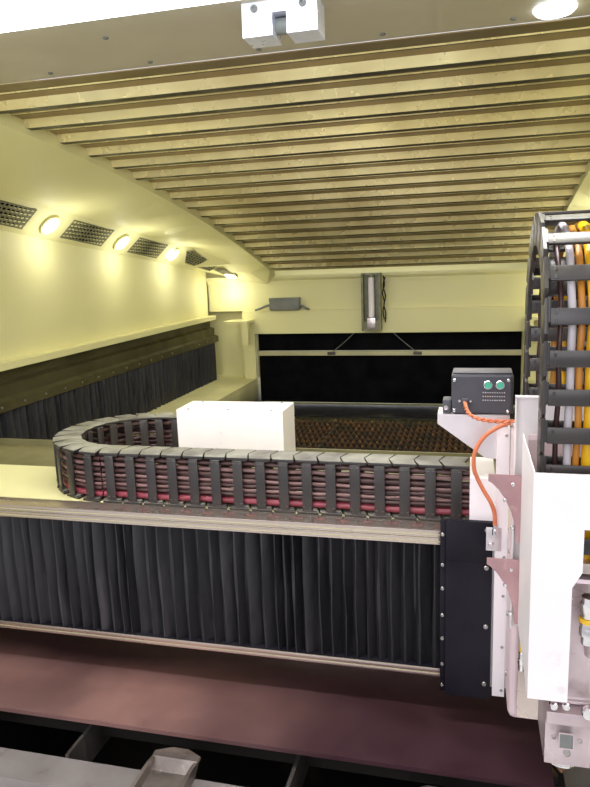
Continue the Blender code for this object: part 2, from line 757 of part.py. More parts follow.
def facet_frame(side, y, share=0.5):
    """A point on the duct's lower facet, between crease and groove, and the facet's outward normal."""
    section = duct_section(side, y)
    crease, groove = Vector(section[1]), Vector(section[2])
    ahead = Vector(duct_section(side, y + GRILLE_LENGTH)[1]) - crease
    normal = (groove - crease).cross(ahead).normalized()
    if normal.z > 0:
        normal = -normal
    return crease.lerp(groove, share), normal


def grille_slots(side, y):
    """Cutters for the slots of one air outlet."""
    made = []
    centre, normal = facet_frame(side, y)
    section = duct_section(side, y)
    across = (Vector(section[2]) - Vector(section[1])).normalized()
    along = normal.cross(across).normalized()
    turn = Matrix((across, along, normal)).transposed().to_4x4()
    for index in range(GRILLE_SLOT_COUNT):
        offset = (index - (GRILLE_SLOT_COUNT - 1) / 2) * GRILLE_SLOT_PITCH
        half = (GRILLE_SLOT_WIDTH / 2, GRILLE_LENGTH / 2, GRILLE_DEPTH)
        cutter = block("slot", [-value for value in half], half)
        cutter.matrix_basis = Matrix.Translation(centre + across * offset) @ turn
        made.append(cutter)
    return made


def make_walls():
    """Glossy inner wall panels with an inward lip, and the folded covers over the rails."""
    for side, word in ((-1, "left"), (1, "right")):
        faces = sorted((side * WALL_PLANE, side * (WALL_PLANE + WALL_THICK)))
        corners = [(FRONT_Y + SKIN, WALL_BOTTOM), (PORTAL_FRONT_Y - GAP, WALL_BOTTOM)]
        corners += [(y, groove_height(y) - GAP) for y in (PORTAL_FRONT_Y - GAP, FRONT_Y + SKIN)]
        wall = outline(word + "_wall_panel", corners, "YZ", faces[0], faces[1], cream_paint, machine)
        lip = sorted((side * (WALL_PLANE - WALL_LIP_REACH), side * (WALL_PLANE + WALL_THICK / 2)))
        low = (lip[0], FRONT_Y + SKIN, WALL_BOTTOM)
        combine(wall, [block("lip", low, (lip[1], PORTAL_FRONT_Y - GAP, WALL_BOTTOM + WALL_LIP))])
        fold = BELLOWS_PLANE + RAIL_COVER_STEP
        front_top = RAIL_COVER_BOTTOM + RAIL_COVER_FRONT_HEIGHT
        plate_top = RAIL_COVER_BOTTOM + RAIL_COVER_PLATE
        ledge_top = front_top + RAIL_COVER_LEDGE
        top = WALL_BOTTOM - GAP
        points = [
            (BELLOWS_PLANE, RAIL_COVER_BOTTOM),
            (BED_OUTER_X, RAIL_COVER_BOTTOM),
            (BED_OUTER_X, plate_top),
            (WALL_PLANE + WALL_THICK, plate_top),
            (WALL_PLANE + WALL_THICK, top),
            (WALL_PLANE - WALL_THICK / 2, top),
            (WALL_PLANE - WALL_THICK / 2, ledge_top + RAIL_COVER_PLATE / 3),
            (fold, ledge_top),
            (fold, front_top + RAIL_COVER_PLATE / 3),
            (BELLOWS_PLANE, front_top),
        ]
        section = [(side * x, z) for x, z in points]
        outline(word + "_rail_cover", section, "XZ", FRONT_Y + SKIN, PORTAL_FRONT_Y - GAP, dark_steel, machine)


def make_roof():
    """Trapezoid-ribbed sheet bent along the roof's arc."""
    lower, upper = [], []
    for index in range(RIB_COUNT):
        start = ROOF_FRONT_Y + index * RIB_PITCH
        crest = RIB_CREST_SHARE * RIB_PITCH
        slope = RIB_SLOPE_SHARE * RIB_PITCH
        flat = RIB_PITCH - crest - 2 * slope
        for y, drop in ((0, 0), (flat, 0), (flat + slope, RIB_DEPTH), (flat + slope + crest, RIB_DEPTH)):
            height = roof_height(start + y) - drop
            lower.append((start + y, height - RIB_SHEET))
            upper.append((start + y, height))
    points = lower + upper[::-1]
    outline("roof_sheet", points, "YZ", ROOF_LEFT_X, ROOF_RIGHT_X, galvanised, machine)


def make_header():
    """Front header box, its light bar, and the block that guides the front door's ropes."""
    rear = ROOF_FRONT_Y - GAP
    low = (ROOF_LEFT_X, FRONT_Y, HEADER_Z)
    block("front_header", low, (ROOF_RIGHT_X, rear, HEADER_Z + HEADER_HEIGHT), cream_paint, machine)
    middle = (ROOF_LEFT_X + ROOF_RIGHT_X) / 2
    half = LIGHT_BAR_LENGTH / 2
    top = HEADER_Z - GAP
    front = LIGHT_BAR_REAR_Y - LIGHT_BAR_WIDTH
    edge, drop = LIGHT_BAR_EDGE, LIGHT_BAR_HEIGHT
    section = [
        (front, top),
        (LIGHT_BAR_REAR_Y, top),
        (LIGHT_BAR_REAR_Y, top - drop + edge),
        (LIGHT_BAR_REAR_Y - edge, top - drop),
        (front + edge, top - drop),
        (front, top - drop + edge),
    ]
    outline("light_bar", section, "YZ", middle - half, middle + half, lamp_glass, machine)
    half = DOOR_BLOCK_WIDTH / 2
    gap = DOOR_BLOCK_GAP_SHARE * DOOR_BLOCK_WIDTH / 2
    low = top - DOOR_BLOCK_HEIGHT
    inner = top - DOOR_BLOCK_TOP
    shape = [(-half, top), (-half, low), (-gap, low), (-gap, inner), (gap, inner), (gap, low), (half, low), (half, top)]
    points = [(DOOR_BLOCK_X + x, z) for x, z in shape]
    front = DOOR_BLOCK_REAR_Y - DOOR_BLOCK_LENGTH
    outline("door_rope_block", points, "XZ", front, DOOR_BLOCK_REAR_Y, white_paint, machine)


def make_rear_end():
    """Cream portal with posts and roller brackets, the wall above it and the rear skin."""
    rear = PORTAL_FRONT_Y + PORTAL_DEPTH
    post_x = BED_INNER_HALF + PORTAL_POST_WIDTH
    portal = block(
        "rear_portal",
        (-post_x, PORTAL_FRONT_Y, PORTAL_BEAM_BOTTOM),
        (post_x, rear, PORTAL_BEAM_TOP),
        cream_paint,
        machine,
    )
    pieces = []
    for side in (-1, 1):
        edges = sorted((side * BED_INNER_HALF, side * post_x))
        low = (edges[0], PORTAL_FRONT_Y, BED_TOP + GAP)
        pieces.append(block("post", low, (edges[1], rear, PORTAL_BEAM_TOP - OVERRUN)))
        shelf_z = PORTAL_BEAM_TOP - PORTAL_SHELF_DROP
        shelf_y = PORTAL_FRONT_Y - PORTAL_SHELF_REACH
        outer = sorted((side * BED_INNER_HALF, side * (post_x + PORTAL_POST_WIDTH)))
        low = (outer[0], shelf_y, shelf_z - PORTAL_SHELF_THICK)
        pieces.append(block("shelf", low, (outer[1], PORTAL_FRONT_Y + OVERRUN, shelf_z)))
        arm = sorted((side * BED_INNER_HALF, side * (BED_INNER_HALF + PORTAL_ARM_WIDTH)))
        low = (arm[0], shelf_y, shelf_z - PORTAL_ARM_LENGTH)
        pieces.append(block("arm", low, (arm[1], shelf_y + PORTAL_ARM_WIDTH, shelf_z - PORTAL_SHELF_THICK / 2)))
        centre_y = shelf_y + PORTAL_ARM_WIDTH
        centre_z = shelf_z - PORTAL_ARM_LENGTH + PORTAL_ROLLER_RADIUS
        start = (arm[0] - side * OVERRUN / 2, centre_y, centre_z)
        pieces.append(rod("roller", PORTAL_ROLLER_RADIUS, start, (arm[1], centre_y, centre_z), sides=16))
    combine(portal, pieces)

    wall_y = REAR_WALL_Y
    ledge = REAR_WALL_LEDGE
    step = REAR_WALL_LEDGE / 2
    bottom = PORTAL_BEAM_TOP + GAP
    top = roof_height(ROOF_REAR_Y) - RIB_DEPTH - RIB_SHEET - GAP
    section = [
        (wall_y, bottom),
        (rear, bottom),
        (rear, top),
        (wall_y - ledge, top),
        (wall_y - ledge, top - step),
        (wall_y - step, top - ledge),
        (wall_y - step, top - ledge - step),
        (wall_y, top - ledge - step),
    ]
    half = WALL_PLANE - GAP
    outline("rear_wall", section, "YZ", -half, half, cream_paint, machine)

    top = roof_height(REAR_Y) + DUCT_HEIGHT
    half = OUTER_X - SKIN - GAP
    skin = block("rear_skin", (-half, REAR_Y - SKIN + GAP, SKIN_BOTTOM), (half, REAR_Y, top), cream_paint, machine)
    opening = CURTAIN_HALF + GAP
    low = (-opening, REAR_Y - SKIN - OVERRUN, BRIDGE_TOP)
    combine(skin, [block("doorway", low, (opening, REAR_Y + OVERRUN, PORTAL_BEAM_BOTTOM))], "DIFFERENCE")

    half = JUNCTION_BOX_WIDTH / 2
    box_back = wall_y - GAP
    low_z = PORTAL_BEAM_TOP + JUNCTION_BOX_LIFT
    box = block(
        "junction_box",
        (JUNCTION_BOX_X - half, box_back - JUNCTION_BOX_DEPTH, low_z),
        (JUNCTION_BOX_X + half, box_back, low_z + JUNCTION_BOX_HEIGHT),
        grey_plastic,
        machine,
    )
    bevel(box, JUNCTION_BOX_LIFT / 2, 1)


def make_curtain():
    """Lifting curtain: stiff bar, hanging cloth, folding cloth above, rope and cylinder."""
    bar_front = PORTAL_FRONT_Y + PORTAL_DEPTH - BAR_DEPTH
    bar_top = BAR_BOTTOM + BAR_HEIGHT
    bar = block(
        "curtain_bar",
        (-CURTAIN_HALF, bar_front, BAR_BOTTOM),
        (CURTAIN_HALF, CURTAIN_Y - GAP, bar_top),
        bare_steel,
        curtain,
    )
    bevel(bar, BAR_DEPTH / 8, 1)
    low = (-CURTAIN_HALF, CURTAIN_Y, CURTAIN_BOTTOM)
    rear = CURTAIN_Y + CURTAIN_THICK
    block("curtain_cloth", low, (CURTAIN_HALF, rear, bar_top), bellows_cloth, curtain)
    low = (-CURTAIN_HALF, CURTAIN_Y, bar_top + GAP)
    block("curtain_upper_cloth", low, (CURTAIN_HALF, rear, CURTAIN_TOP), bellows_cloth, machine)

    face = PORTAL_FRONT_Y - CYLINDER_STANDOFF
    half = CYLINDER_WIDTH / 2
    wall = CYLINDER_WALL
    front = face - CYLINDER_DEPTH
    shape = [
        (-half, front),
        (-half + wall, front),
        (-half + wall, face - wall),
        (half - wall, face - wall),
        (half - wall, front),
        (half, front),
        (half, face),
        (-half, face),
    ]
    points = [(CYLINDER_X + x, y) for x, y in shape]
    channel = outline("lift_cylinder", points, "XY", CYLINDER_BOTTOM, CYLINDER_TOP, stainless, machine)
    block_top = CYLINDER_BOTTOM + CYLINDER_BLOCK_HEIGHT
    tube_y = face - CYLINDER_DEPTH / 2
    inner = half - wall / 2
    pieces = [
        block(
            "lower_block",
            (CYLINDER_X - inner, front + wall / 2, CYLINDER_BOTTOM),
            (CYLINDER_X + inner, face - wall / 2, block_top),
        ),
        rod(
            "tube",
            CYLINDER_TUBE_RADIUS,
            (CYLINDER_X, tube_y, block_top - OVERRUN),
            (CYLINDER_X, tube_y, CYLINDER_TOP - wall / 2),
            sides=20,
        ),
        block(
            "upper_block",
            (CYLINDER_X - inner, front + wall, CYLINDER_TOP - wall),
            (CYLINDER_X + inner, face - wall / 2, CYLINDER_TOP),
        ),
    ]
    for low_z in (CYLINDER_BOTTOM + CYLINDER_BLOCK_HEIGHT, PORTAL_BEAM_TOP - 2 * OVERRUN):
        low = (CYLINDER_X - half / 2, face - wall / 2, low_z)
        pieces.append(block("foot", low, (CYLINDER_X + half / 2, PORTAL_FRONT_Y - GAP, low_z + OVERRUN)))
    combine(channel, pieces)

    gap_y = PORTAL_FRONT_Y - CYLINDER_STANDOFF / 2
    side = half + ROPE_RADIUS
    clip_y = bar_front - ROPE_RADIUS - GAP
    clip_z = BAR_BOTTOM + BAR_HEIGHT / 2
    knee_z = PORTAL_BEAM_BOTTOM - CYLINDER_STANDOFF
    knee_x = ROPE_SPREAD * (ROPE_TOP_Z - knee_z) / (ROPE_TOP_Z - clip_z)
    route = [
        (CYLINDER_X - ROPE_SPREAD, clip_y, clip_z),
        (CYLINDER_X - side - knee_x, gap_y, knee_z),
        (CYLINDER_X - side, gap_y, ROPE_TOP_Z),
        (CYLINDER_X, gap_y, ROPE_TOP_Z + ROPE_RADIUS),
        (CYLINDER_X + side, gap_y, ROPE_TOP_Z),
        (CYLINDER_X + side + knee_x, gap_y, knee_z),
        (CYLINDER_X + ROPE_SPREAD, clip_y, clip_z),
    ]
    cable("lift_rope", route, ROPE_RADIUS, dark_steel, machine, 24)


def make_pallet():
    """Pallet frame, comb of slats, metal sheet and the three tow hooks."""
    beam_rear = PALLET_FRONT_Y + PALLET_BEAM_WIDTH
    half = PALLET_HALF
    low = (-half, PALLET_FRONT_Y, PALLET_BEAM_BOTTOM)
    frame = block("pallet_frame", low, (half, beam_rear, PALLET_BEAM_TOP), dark_steel, pallet)
    pieces = []
    side_top = PALLET_LOW_Z + PALLET_SIDE_HEIGHT
    for side in (-1, 1):
        edges = sorted((side * half, side * (half - PALLET_SIDE_WIDTH)))
        low = (edges[0], beam_rear - OVERRUN, PALLET_LOW_Z)
        pieces.append(block("side_tube", low, (edges[1], PALLET_REAR_Y, side_top)))
    cross_top = PALLET_LOW_Z + PALLET_CROSS_HEIGHT
    span = PALLET_REAR_Y - beam_rear - PALLET_BEAM_WIDTH
    for index in range(PALLET_CROSS_COUNT):
        y = beam_rear + span * (index + 1) / PALLET_CROSS_COUNT
        low = (-half + PALLET_SIDE_WIDTH / 2, y, PALLET_LOW_Z)
        pieces.append(block("cross_tube", low, (-low[0], y + PALLET_BEAM_WIDTH, cross_top)))
    combine(frame, pieces)

    holder_low = cross_top + GAP
    slat_points = [(-SLAT_HALF_LENGTH, SLAT_BOTTOM), (SLAT_HALF_LENGTH, SLAT_BOTTOM)]
    pitch = 2 * SLAT_HALF_LENGTH / SLAT_TEETH
    for index in range(SLAT_TEETH):
        right = SLAT_HALF_LENGTH - index * pitch
        slat_points.append((right, SLAT_TIP - SLAT_TOOTH_HEIGHT))
        slat_points.append((right - pitch / 2, SLAT_TIP))
    slat_points.append((-SLAT_HALF_LENGTH, SLAT_TIP - SLAT_TOOTH_HEIGHT))
    last_y = SLAT_FIRST_Y + (SLAT_COUNT - 1) * SLAT_PITCH
    holder = [
        (beam_rear + GAP, holder_low),
        (last_y + SLAT_PITCH / 4, holder_low),
        (last_y + SLAT_PITCH / 4, HOLDER_TOP),
        (SLAT_FIRST_Y - SLAT_PITCH / 4, HOLDER_TOP),
        (SHEET_FRONT_Y + OVERRUN, SLAT_TIP - HOLDER_THICK),
        (beam_rear + GAP, PALLET_BEAM_TOP - HOLDER_THICK),
    ]
    rows = []
    for index in range(HOLDER_COUNT):
        x = (index - (HOLDER_COUNT - 1) / 2) * HOLDER_PITCH
        surface, owner = (rusty_steel, pallet) if index == 0 else (None, None)
        name = "slats" if index == 0 else "holder"
        rows.append(outline(name, holder, "YZ", x - HOLDER_THICK / 2, x + HOLDER_THICK / 2, surface, owner))
    for index in range(SLAT_COUNT):
        y = SLAT_FIRST_Y + index * SLAT_PITCH
        rows.append(outline("slat", slat_points, "XZ", y - SLAT_THICK / 2, y + SLAT_THICK / 2))
    combine(rows[0], rows[1:])

    left = SHEET_CENTRE_X - SHEET_WIDTH / 2
    low = (left, SHEET_FRONT_Y, SHEET_LOW_Z)
    high = (left + SHEET_WIDTH, SHEET_FRONT_Y + SHEET_LENGTH, SHEET_TOP)
    block("metal_sheet", low, high, plate_steel, pallet)

    for name, step in (("left_hook", -1), ("middle_hook", 0), ("right_hook", 1)):
        make_hook(name, step * HOOK_PITCH)


def make_hook(name, x):
    """Folded tow hook bolted on the pallet's front beam: base, sloped neck, tongue and two side flanges."""
    rear = PALLET_FRONT_Y + PALLET_BEAM_WIDTH
    base_low = PALLET_BEAM_TOP + GAP
    front = rear - HOOK_LENGTH
    half = HOOK_WIDTH / 2
    neck = rear + HOOK_RISE
    section = [
        (front, base_low),
        (rear, base_low),
        (neck, base_low + HOOK_RISE - HOOK_PLATE),
        (neck + HOOK_PLATE, base_low + HOOK_RISE),
        (neck - HOOK_PLATE, base_low + HOOK_RISE),
        (rear - HOOK_PLATE / 2, base_low + HOOK_PLATE),
        (front, base_low + HOOK_PLATE),
    ]
    inner = half - HOOK_PLATE / 2
    hook = outline(name, section, "YZ", x - inner, x + inner, stainless, pallet)
    tip = neck + HOOK_TONGUE * HOOK_TIP_SHARE
    tongue = [
        (x - half, neck - HOOK_PLATE),
        (x + half, neck - HOOK_PLATE),
        (x + half, neck + HOOK_PLATE),
        (x + half * HOOK_TIP_SHARE, tip),
        (x - half * HOOK_TIP_SHARE, tip),
        (x - half, neck + HOOK_PLATE),
    ]
    tongue_low = base_low + HOOK_RISE - HOOK_PLATE * 7 / 8
    pieces = [outline("tongue", tongue, "XY", tongue_low, tongue_low + HOOK_PLATE * 3 / 4)]
    flange = [
        (front, base_low + HOOK_PLATE / 4),
        (rear, base_low + HOOK_PLATE / 4),
        (neck, base_low + HOOK_RISE - HOOK_PLATE / 2),
        (rear - HOOK_PLATE, base_low + HOOK_FLANGE),
        (front, base_low + HOOK_FLANGE),
    ]
    for side in (-1, 1):
        edges = sorted((x + side * half, x + side * (half - HOOK_PLATE)))
        pieces.append(outline("flange", flange, "YZ", edges[0], edges[1]))
        bolt_x = x + side * half / 2
        bolt_y = front + HOOK_LENGTH / 2
        bolt_low = (bolt_x, bolt_y, base_low + HOOK_PLATE / 2)
        bolt_high = (bolt_x, bolt_y, base_low + HOOK_PLATE + HOOK_BOLT_HEIGHT)
        pieces.append(rod("bolt", HOOK_BOLT_RADIUS, bolt_low, bolt_high, sides=6))
    combine(hook, pieces)


def make_gantry():
    """Gantry beam with guide rails, end trucks and steel tracks for the bellows, and the chain tray."""
    bottom = BEAM_BOTTOM
    rail_y = WEB_Y - X_RAIL_DEPTH
    section = [(BEAM_BACK_Y, BEAM_TOP), (BEAM_BACK_Y, bottom), (WEB_Y, bottom)]
    for z in (X_RAIL_LOW_Z, X_RAIL_HIGH_Z):
        section += [(WEB_Y, z), (rail_y, z), (rail_y, z + X_RAIL_HEIGHT), (WEB_Y, z + X_RAIL_HEIGHT)]
    section += [(WEB_Y, BEAM_TOP - BEAM_TOP_PLATE), (BEAM_TOP_Y, BEAM_TOP - BEAM_TOP_PLATE), (BEAM_TOP_Y, BEAM_TOP)]
    beam = outline("gantry_beam", section, "YZ", -BEAM_HALF, BEAM_HALF, cream_paint, gantry)
    pieces = []
    middle_y = (BEAM_TOP_Y + BEAM_BACK_Y) / 2
    rail_top = BED_TOP + GUIDE_RAIL_HEIGHT
    for side in (-1, 1):
        edges = sorted((side * (BEAM_HALF - OVERRUN), side * (GUIDE_RAIL_X + TRUCK_WIDTH / 2 - OVERRUN)))
        low = (edges[0], BEAM_TOP_Y, BEAM_END_BOTTOM)
        end_high = (edges[1], BEAM_BACK_Y, BEAM_TOP)
        pieces.append(block("beam_end", low, end_high))
        x = side * GUIDE_RAIL_X
        low = (x - TRUCK_WIDTH / 2, middle_y - TRUCK_LENGTH / 2, BED_TOP + GUIDE_RAIL_HEIGHT / 2)
        high = (x + TRUCK_WIDTH / 2, middle_y + TRUCK_LENGTH / 2, BED_TOP + TRUCK_HEIGHT)
        pieces.append(block("truck", low, high))
    track_low = BEAM_BOTTOM - TRACK_THICK
    low_track = [
        (GANTRY_FRONT_Y, track_low),
        (WEB_Y + OVERRUN, track_low),
        (WEB_Y + OVERRUN, BEAM_BOTTOM + OVERRUN),
        (WEB_Y + OVERRUN / 2, BEAM_BOTTOM + OVERRUN),
        (WEB_Y + OVERRUN / 2, BEAM_BOTTOM - TRACK_GROOVE),
        (GANTRY_FRONT_Y, BEAM_BOTTOM - TRACK_GROOVE),
    ]
    pieces.append(outline("low_track", low_track, "YZ", -BEAM_HALF, BEAM_HALF))
    lip_low = BEAM_TOP - BEAM_TOP_PLATE
    lip = [
        (GANTRY_FRONT_Y, lip_low),
        (BEAM_TOP_Y + OVERRUN, lip_low),
        (BEAM_TOP_Y + OVERRUN, BEAM_TOP),
        (GANTRY_FRONT_Y, BEAM_TOP),
        (GANTRY_FRONT_Y, BEAM_TOP - BEAM_TOP_PLATE / 3),
        (GANTRY_FRONT_Y + TRACK_GROOVE, BEAM_TOP - BEAM_TOP_PLATE / 2),
        (GANTRY_FRONT_Y, BEAM_TOP - 2 * BEAM_TOP_PLATE / 3),
    ]
    pieces.append(outline("lip", lip, "YZ", -BEAM_END_HALF, BEAM_END_HALF))
    combine(beam, pieces)
    grooves = []
    for side in (-1, 1):
        half = GUIDE_RAIL_WIDTH / 2 + SLIDE_CLEARANCE
        x = side * GUIDE_RAIL_X
        low = (x - half, middle_y - TRUCK_LENGTH, BED_TOP - OVERRUN)
        high = (x + half, middle_y + TRUCK_LENGTH, rail_top + GAP)
        grooves.append(block("groove", low, high))
    combine(beam, grooves, "DIFFERENCE")

    tray_low = BEAM_TOP - TRAY_THICK
    tray = [
        (BEAM_BACK_Y + GAP, BEAM_END_BOTTOM),
        (BEAM_BACK_Y + TRAY_THICK, BEAM_END_BOTTOM),
        (BEAM_BACK_Y + TRAY_THICK, tray_low),
        (TRAY_REAR_Y, tray_low),
        (TRAY_REAR_Y, BEAM_TOP + TRAY_RIM),
        (TRAY_REAR_Y - TRAY_RIM_THICK, BEAM_TOP + TRAY_RIM),
        (TRAY_REAR_Y - TRAY_RIM_THICK, BEAM_TOP),
        (BEAM_BACK_Y + GAP, BEAM_TOP),
    ]
    outline("chain_tray", tray, "YZ", -BEAM_END_HALF, BEAM_END_HALF, bare_steel, gantry)


def pleats(start, end, count, face, depth, back):
    """Zigzag outline of a folded bellows between two ends, its ridges at face and its back behind them."""
    pitch = (end - start) / count
    points = [(start, face + depth)]
    for index in range(count):
        points.append((start + (index + 1 / 2) * pitch, face))
        points.append((start + (index + 1) * pitch, face + depth))
    return points + [(end, face + depth + back), (start, face + depth + back)]


def make_bellows():
    """Bellows on both sides of the carriage and, on each rail, in front of and behind the gantry."""
    low = BEAM_BOTTOM - TRACK_GROOVE + GAP
    high = BEAM_TOP - BEAM_TOP_PLATE - GAP
    left_end = BLACK_COVER_LEFT_X - GAP
    count = round((left_end + BEAM_HALF) / X_PLEAT_PITCH)
    spans = (
        ("left_x_bellows", -BEAM_HALF, left_end, count),
        ("right_x_bellows", SADDLE_RIGHT_X + GAP, BEAM_HALF, X_PACK_PLEATS),
    )
    for name, start, end, folds in spans:
        points = pleats(start, end, folds, GANTRY_FRONT_Y, BELLOWS_DEPTH, BELLOWS_BACK)
        outline(name, points, "XY", low, high, bellows_cloth, gantry)
    rear_start = BEAM_BACK_Y + TRAY_THICK + GAP
    rear_count = round((RAIL_BELLOWS_REAR_Y - rear_start) / RAIL_PLEAT_PITCH)
    for word, side in (("left", -1), ("right", 1)):
        ends = (
            (word + "_front_rail_bellows", RAIL_BELLOWS_FRONT_Y, BEAM_TOP_Y - GAP, RAIL_PACK_PLEATS),
            (word + "_rear_rail_bellows", rear_start, RAIL_BELLOWS_REAR_Y, rear_count),
        )
        for name, start, end, folds in ends:
            shape = pleats(start, end, folds, BELLOWS_PLANE, BELLOWS_DEPTH, BELLOWS_BACK)
            points = [(y, side * x) for y, x in shape]
            outline(name, points, "YX", BED_TOP + GAP, RAIL_COVER_BOTTOM - GAP, bellows_cloth, machine)


def chain_frames(path, count):
    """Frames (place and heading) at the joints of a run of links, as path(share) gives them."""
    return [path(index / count) for index in range(count + 1)]


def straight_run(start, end):
    """A straight path from start to end, as (u, v, heading)."""
    heading = math.atan2(end[1] - start[1], end[0] - start[0])
    return lambda share: (
        start[0] + share * (end[0] - start[0]),
        start[1] + share * (end[1] - start[1]),
        heading,
    )


def arc_run(centre, radius, first, last):
    """A path along an arc from the angle first to the angle last."""
    turn = math.copysign(math.pi / 2, last - first)

    def path(share):
        angle = first + share * (last - first)
        return centre[0] + radius * math.cos(angle), centre[1] + radius * math.sin(angle), angle + turn

    return path


def offset_point(frame, along, across):
    """A point beside a frame: along its heading, and across it to the left."""
    u, v, heading = frame
    cos, sin = math.cos(heading), math.sin(heading)
    return u + along * cos - across * sin, v + along * sin + across * cos


def between(first, second):
    """The frame halfway between two joints, headed from one to the other."""
    heading = math.atan2(second[1] - first[1], second[0] - first[0])
    return (first[0] + second[0]) / 2, (first[1] + second[1]) / 2, heading


def chain(name, frames, plane, low, high, link, holder):
    """Energy chain: two side bands, a chevron plate on each link's two sides and two bars across it."""
    half = link / 2
    length = math.dist(frames[0][:2], frames[1][:2])
    band = [offset_point(frame, 0, half) for frame in frames]
    band += [offset_point(frame, 0, -half) for frame in frames[::-1]]
    inner_low, inner_high = low + LINK_PLATE, high - LINK_PLATE
    made = outline(name, band, plane, low + LINK_RELIEF, inner_low, chain_plastic, holder)
    pieces = [outline("band", band, plane, inner_high, high - LINK_RELIEF)]
    reach = (length - LINK_SEAM) / 2
    edge = half - LINK_RELIEF / 2
    wide = LINK_BAR_WIDTH / 2
    for first, second in zip(frames, frames[1:]):
        middle = between(first, second)
        plate = [
            offset_point(middle, -reach, -edge),
            offset_point(middle, reach - LINK_CHEVRON, -edge),
            offset_point(middle, reach, 0),
            offset_point(middle, reach - LINK_CHEVRON, edge),
            offset_point(middle, -reach, edge),
            offset_point(middle, LINK_CHEVRON - reach, 0),
        ]
        pieces.append(outline("plate", plate, plane, low, inner_low - LINK_RELIEF))
        pieces.append(outline("plate", plate, plane, inner_high + LINK_RELIEF, high))
        for side in (-1, 1):
            near, far = side * (edge - LINK_BAR_THICK), side * edge
            bar = [offset_point(middle, along, across) for along, across in
                   ((-wide, near), (wide, near), (wide, far), (-wide, far))]
            pieces.append(outline("bar", bar, plane, inner_low - LINK_RELIEF, inner_high + LINK_RELIEF))
    return combine(made, pieces)


def make_x_chain():
    """Chain lying on its side: front run to the carriage, loop at the left, rear run into its cover."""
    low, high = X_CHAIN_LOW_Z, X_CHAIN_LOW_Z + X_CHAIN_WIDTH
    y = X_CHAIN_FRONT_Y
    far_y = y + 2 * X_CHAIN_RADIUS
    loop_x = X_CHAIN_LOOP_X
    front = chain_frames(straight_run((X_CHAIN_RIGHT_X, y), (loop_x + GAP, y)), X_CHAIN_FRONT_LINKS)
    chain("x_chain_front", front, "XY", low, high, X_CHAIN_LINK, loop)
    bend = arc_run((loop_x, y + X_CHAIN_RADIUS), X_CHAIN_RADIUS, -math.pi / 2, -3 * math.pi / 2)
    chain("x_chain_loop", chain_frames(bend, X_CHAIN_LOOP_LINKS), "XY", low, high, X_CHAIN_LINK, loop)
    end = loop_x + X_CHAIN_REAR_LINKS * LINK_PITCH
    rear = chain_frames(straight_run((loop_x + GAP, far_y), (end, far_y)), X_CHAIN_REAR_LINKS)
    chain("x_chain_rear", rear, "XY", low, high, X_CHAIN_LINK, gantry)

    centre_y = far_y
    half = CHAIN_BOX_DEPTH / 2
    right = CHAIN_BOX_LEFT_X + CHAIN_BOX_LENGTH
    top = BEAM_TOP + CHAIN_BOX_HEIGHT
    cover = block(
        "chain_end_cover",
        (CHAIN_BOX_LEFT_X, centre_y - half, BEAM_TOP + GAP),
        (right, min(centre_y + half, TRAY_REAR_Y - TRAY_RIM_THICK - GAP), top),
        white_paint,
        gantry,
    )
    wall = CHAIN_BOX_WALL
    low_corner = (CHAIN_BOX_LEFT_X - OVERRUN, centre_y - half + wall, BEAM_TOP - OVERRUN)
    high_corner = (right - wall, TRAY_REAR_Y - TRAY_RIM_THICK - GAP - wall, top - wall)
    combine(cover, [block("inside", low_corner, high_corner)], "DIFFERENCE")


def make_z_chain():
    """Chain standing over the head: back run from the column, arch, front run to the head plate."""
    low, high = Z_CHAIN_LEFT_X, Z_CHAIN_LEFT_X + Z_CHAIN_WIDTH
    front_y = Z_CHAIN_CENTRE_Y - Z_CHAIN_RADIUS
    back_y = Z_CHAIN_CENTRE_Y + Z_CHAIN_RADIUS
    z = Z_CHAIN_CENTRE_Z
    back = chain_frames(
        straight_run((back_y, z - Z_CHAIN_BACK_LINKS * LINK_PITCH), (back_y, z)), Z_CHAIN_BACK_LINKS
    )
    arch = chain_frames(arc_run((Z_CHAIN_CENTRE_Y, z), Z_CHAIN_RADIUS, 0, math.pi), Z_CHAIN_ARCH_LINKS)
    front = chain_frames(
        straight_run((front_y, z), (front_y, z - Z_CHAIN_FRONT_LINKS * LINK_PITCH)), Z_CHAIN_FRONT_LINKS
    )
    frames = back[:-1] + arch[:-1] + front
    chain("z_chain", frames, "YZ", low, high, Z_CHAIN_LINK, carriage)


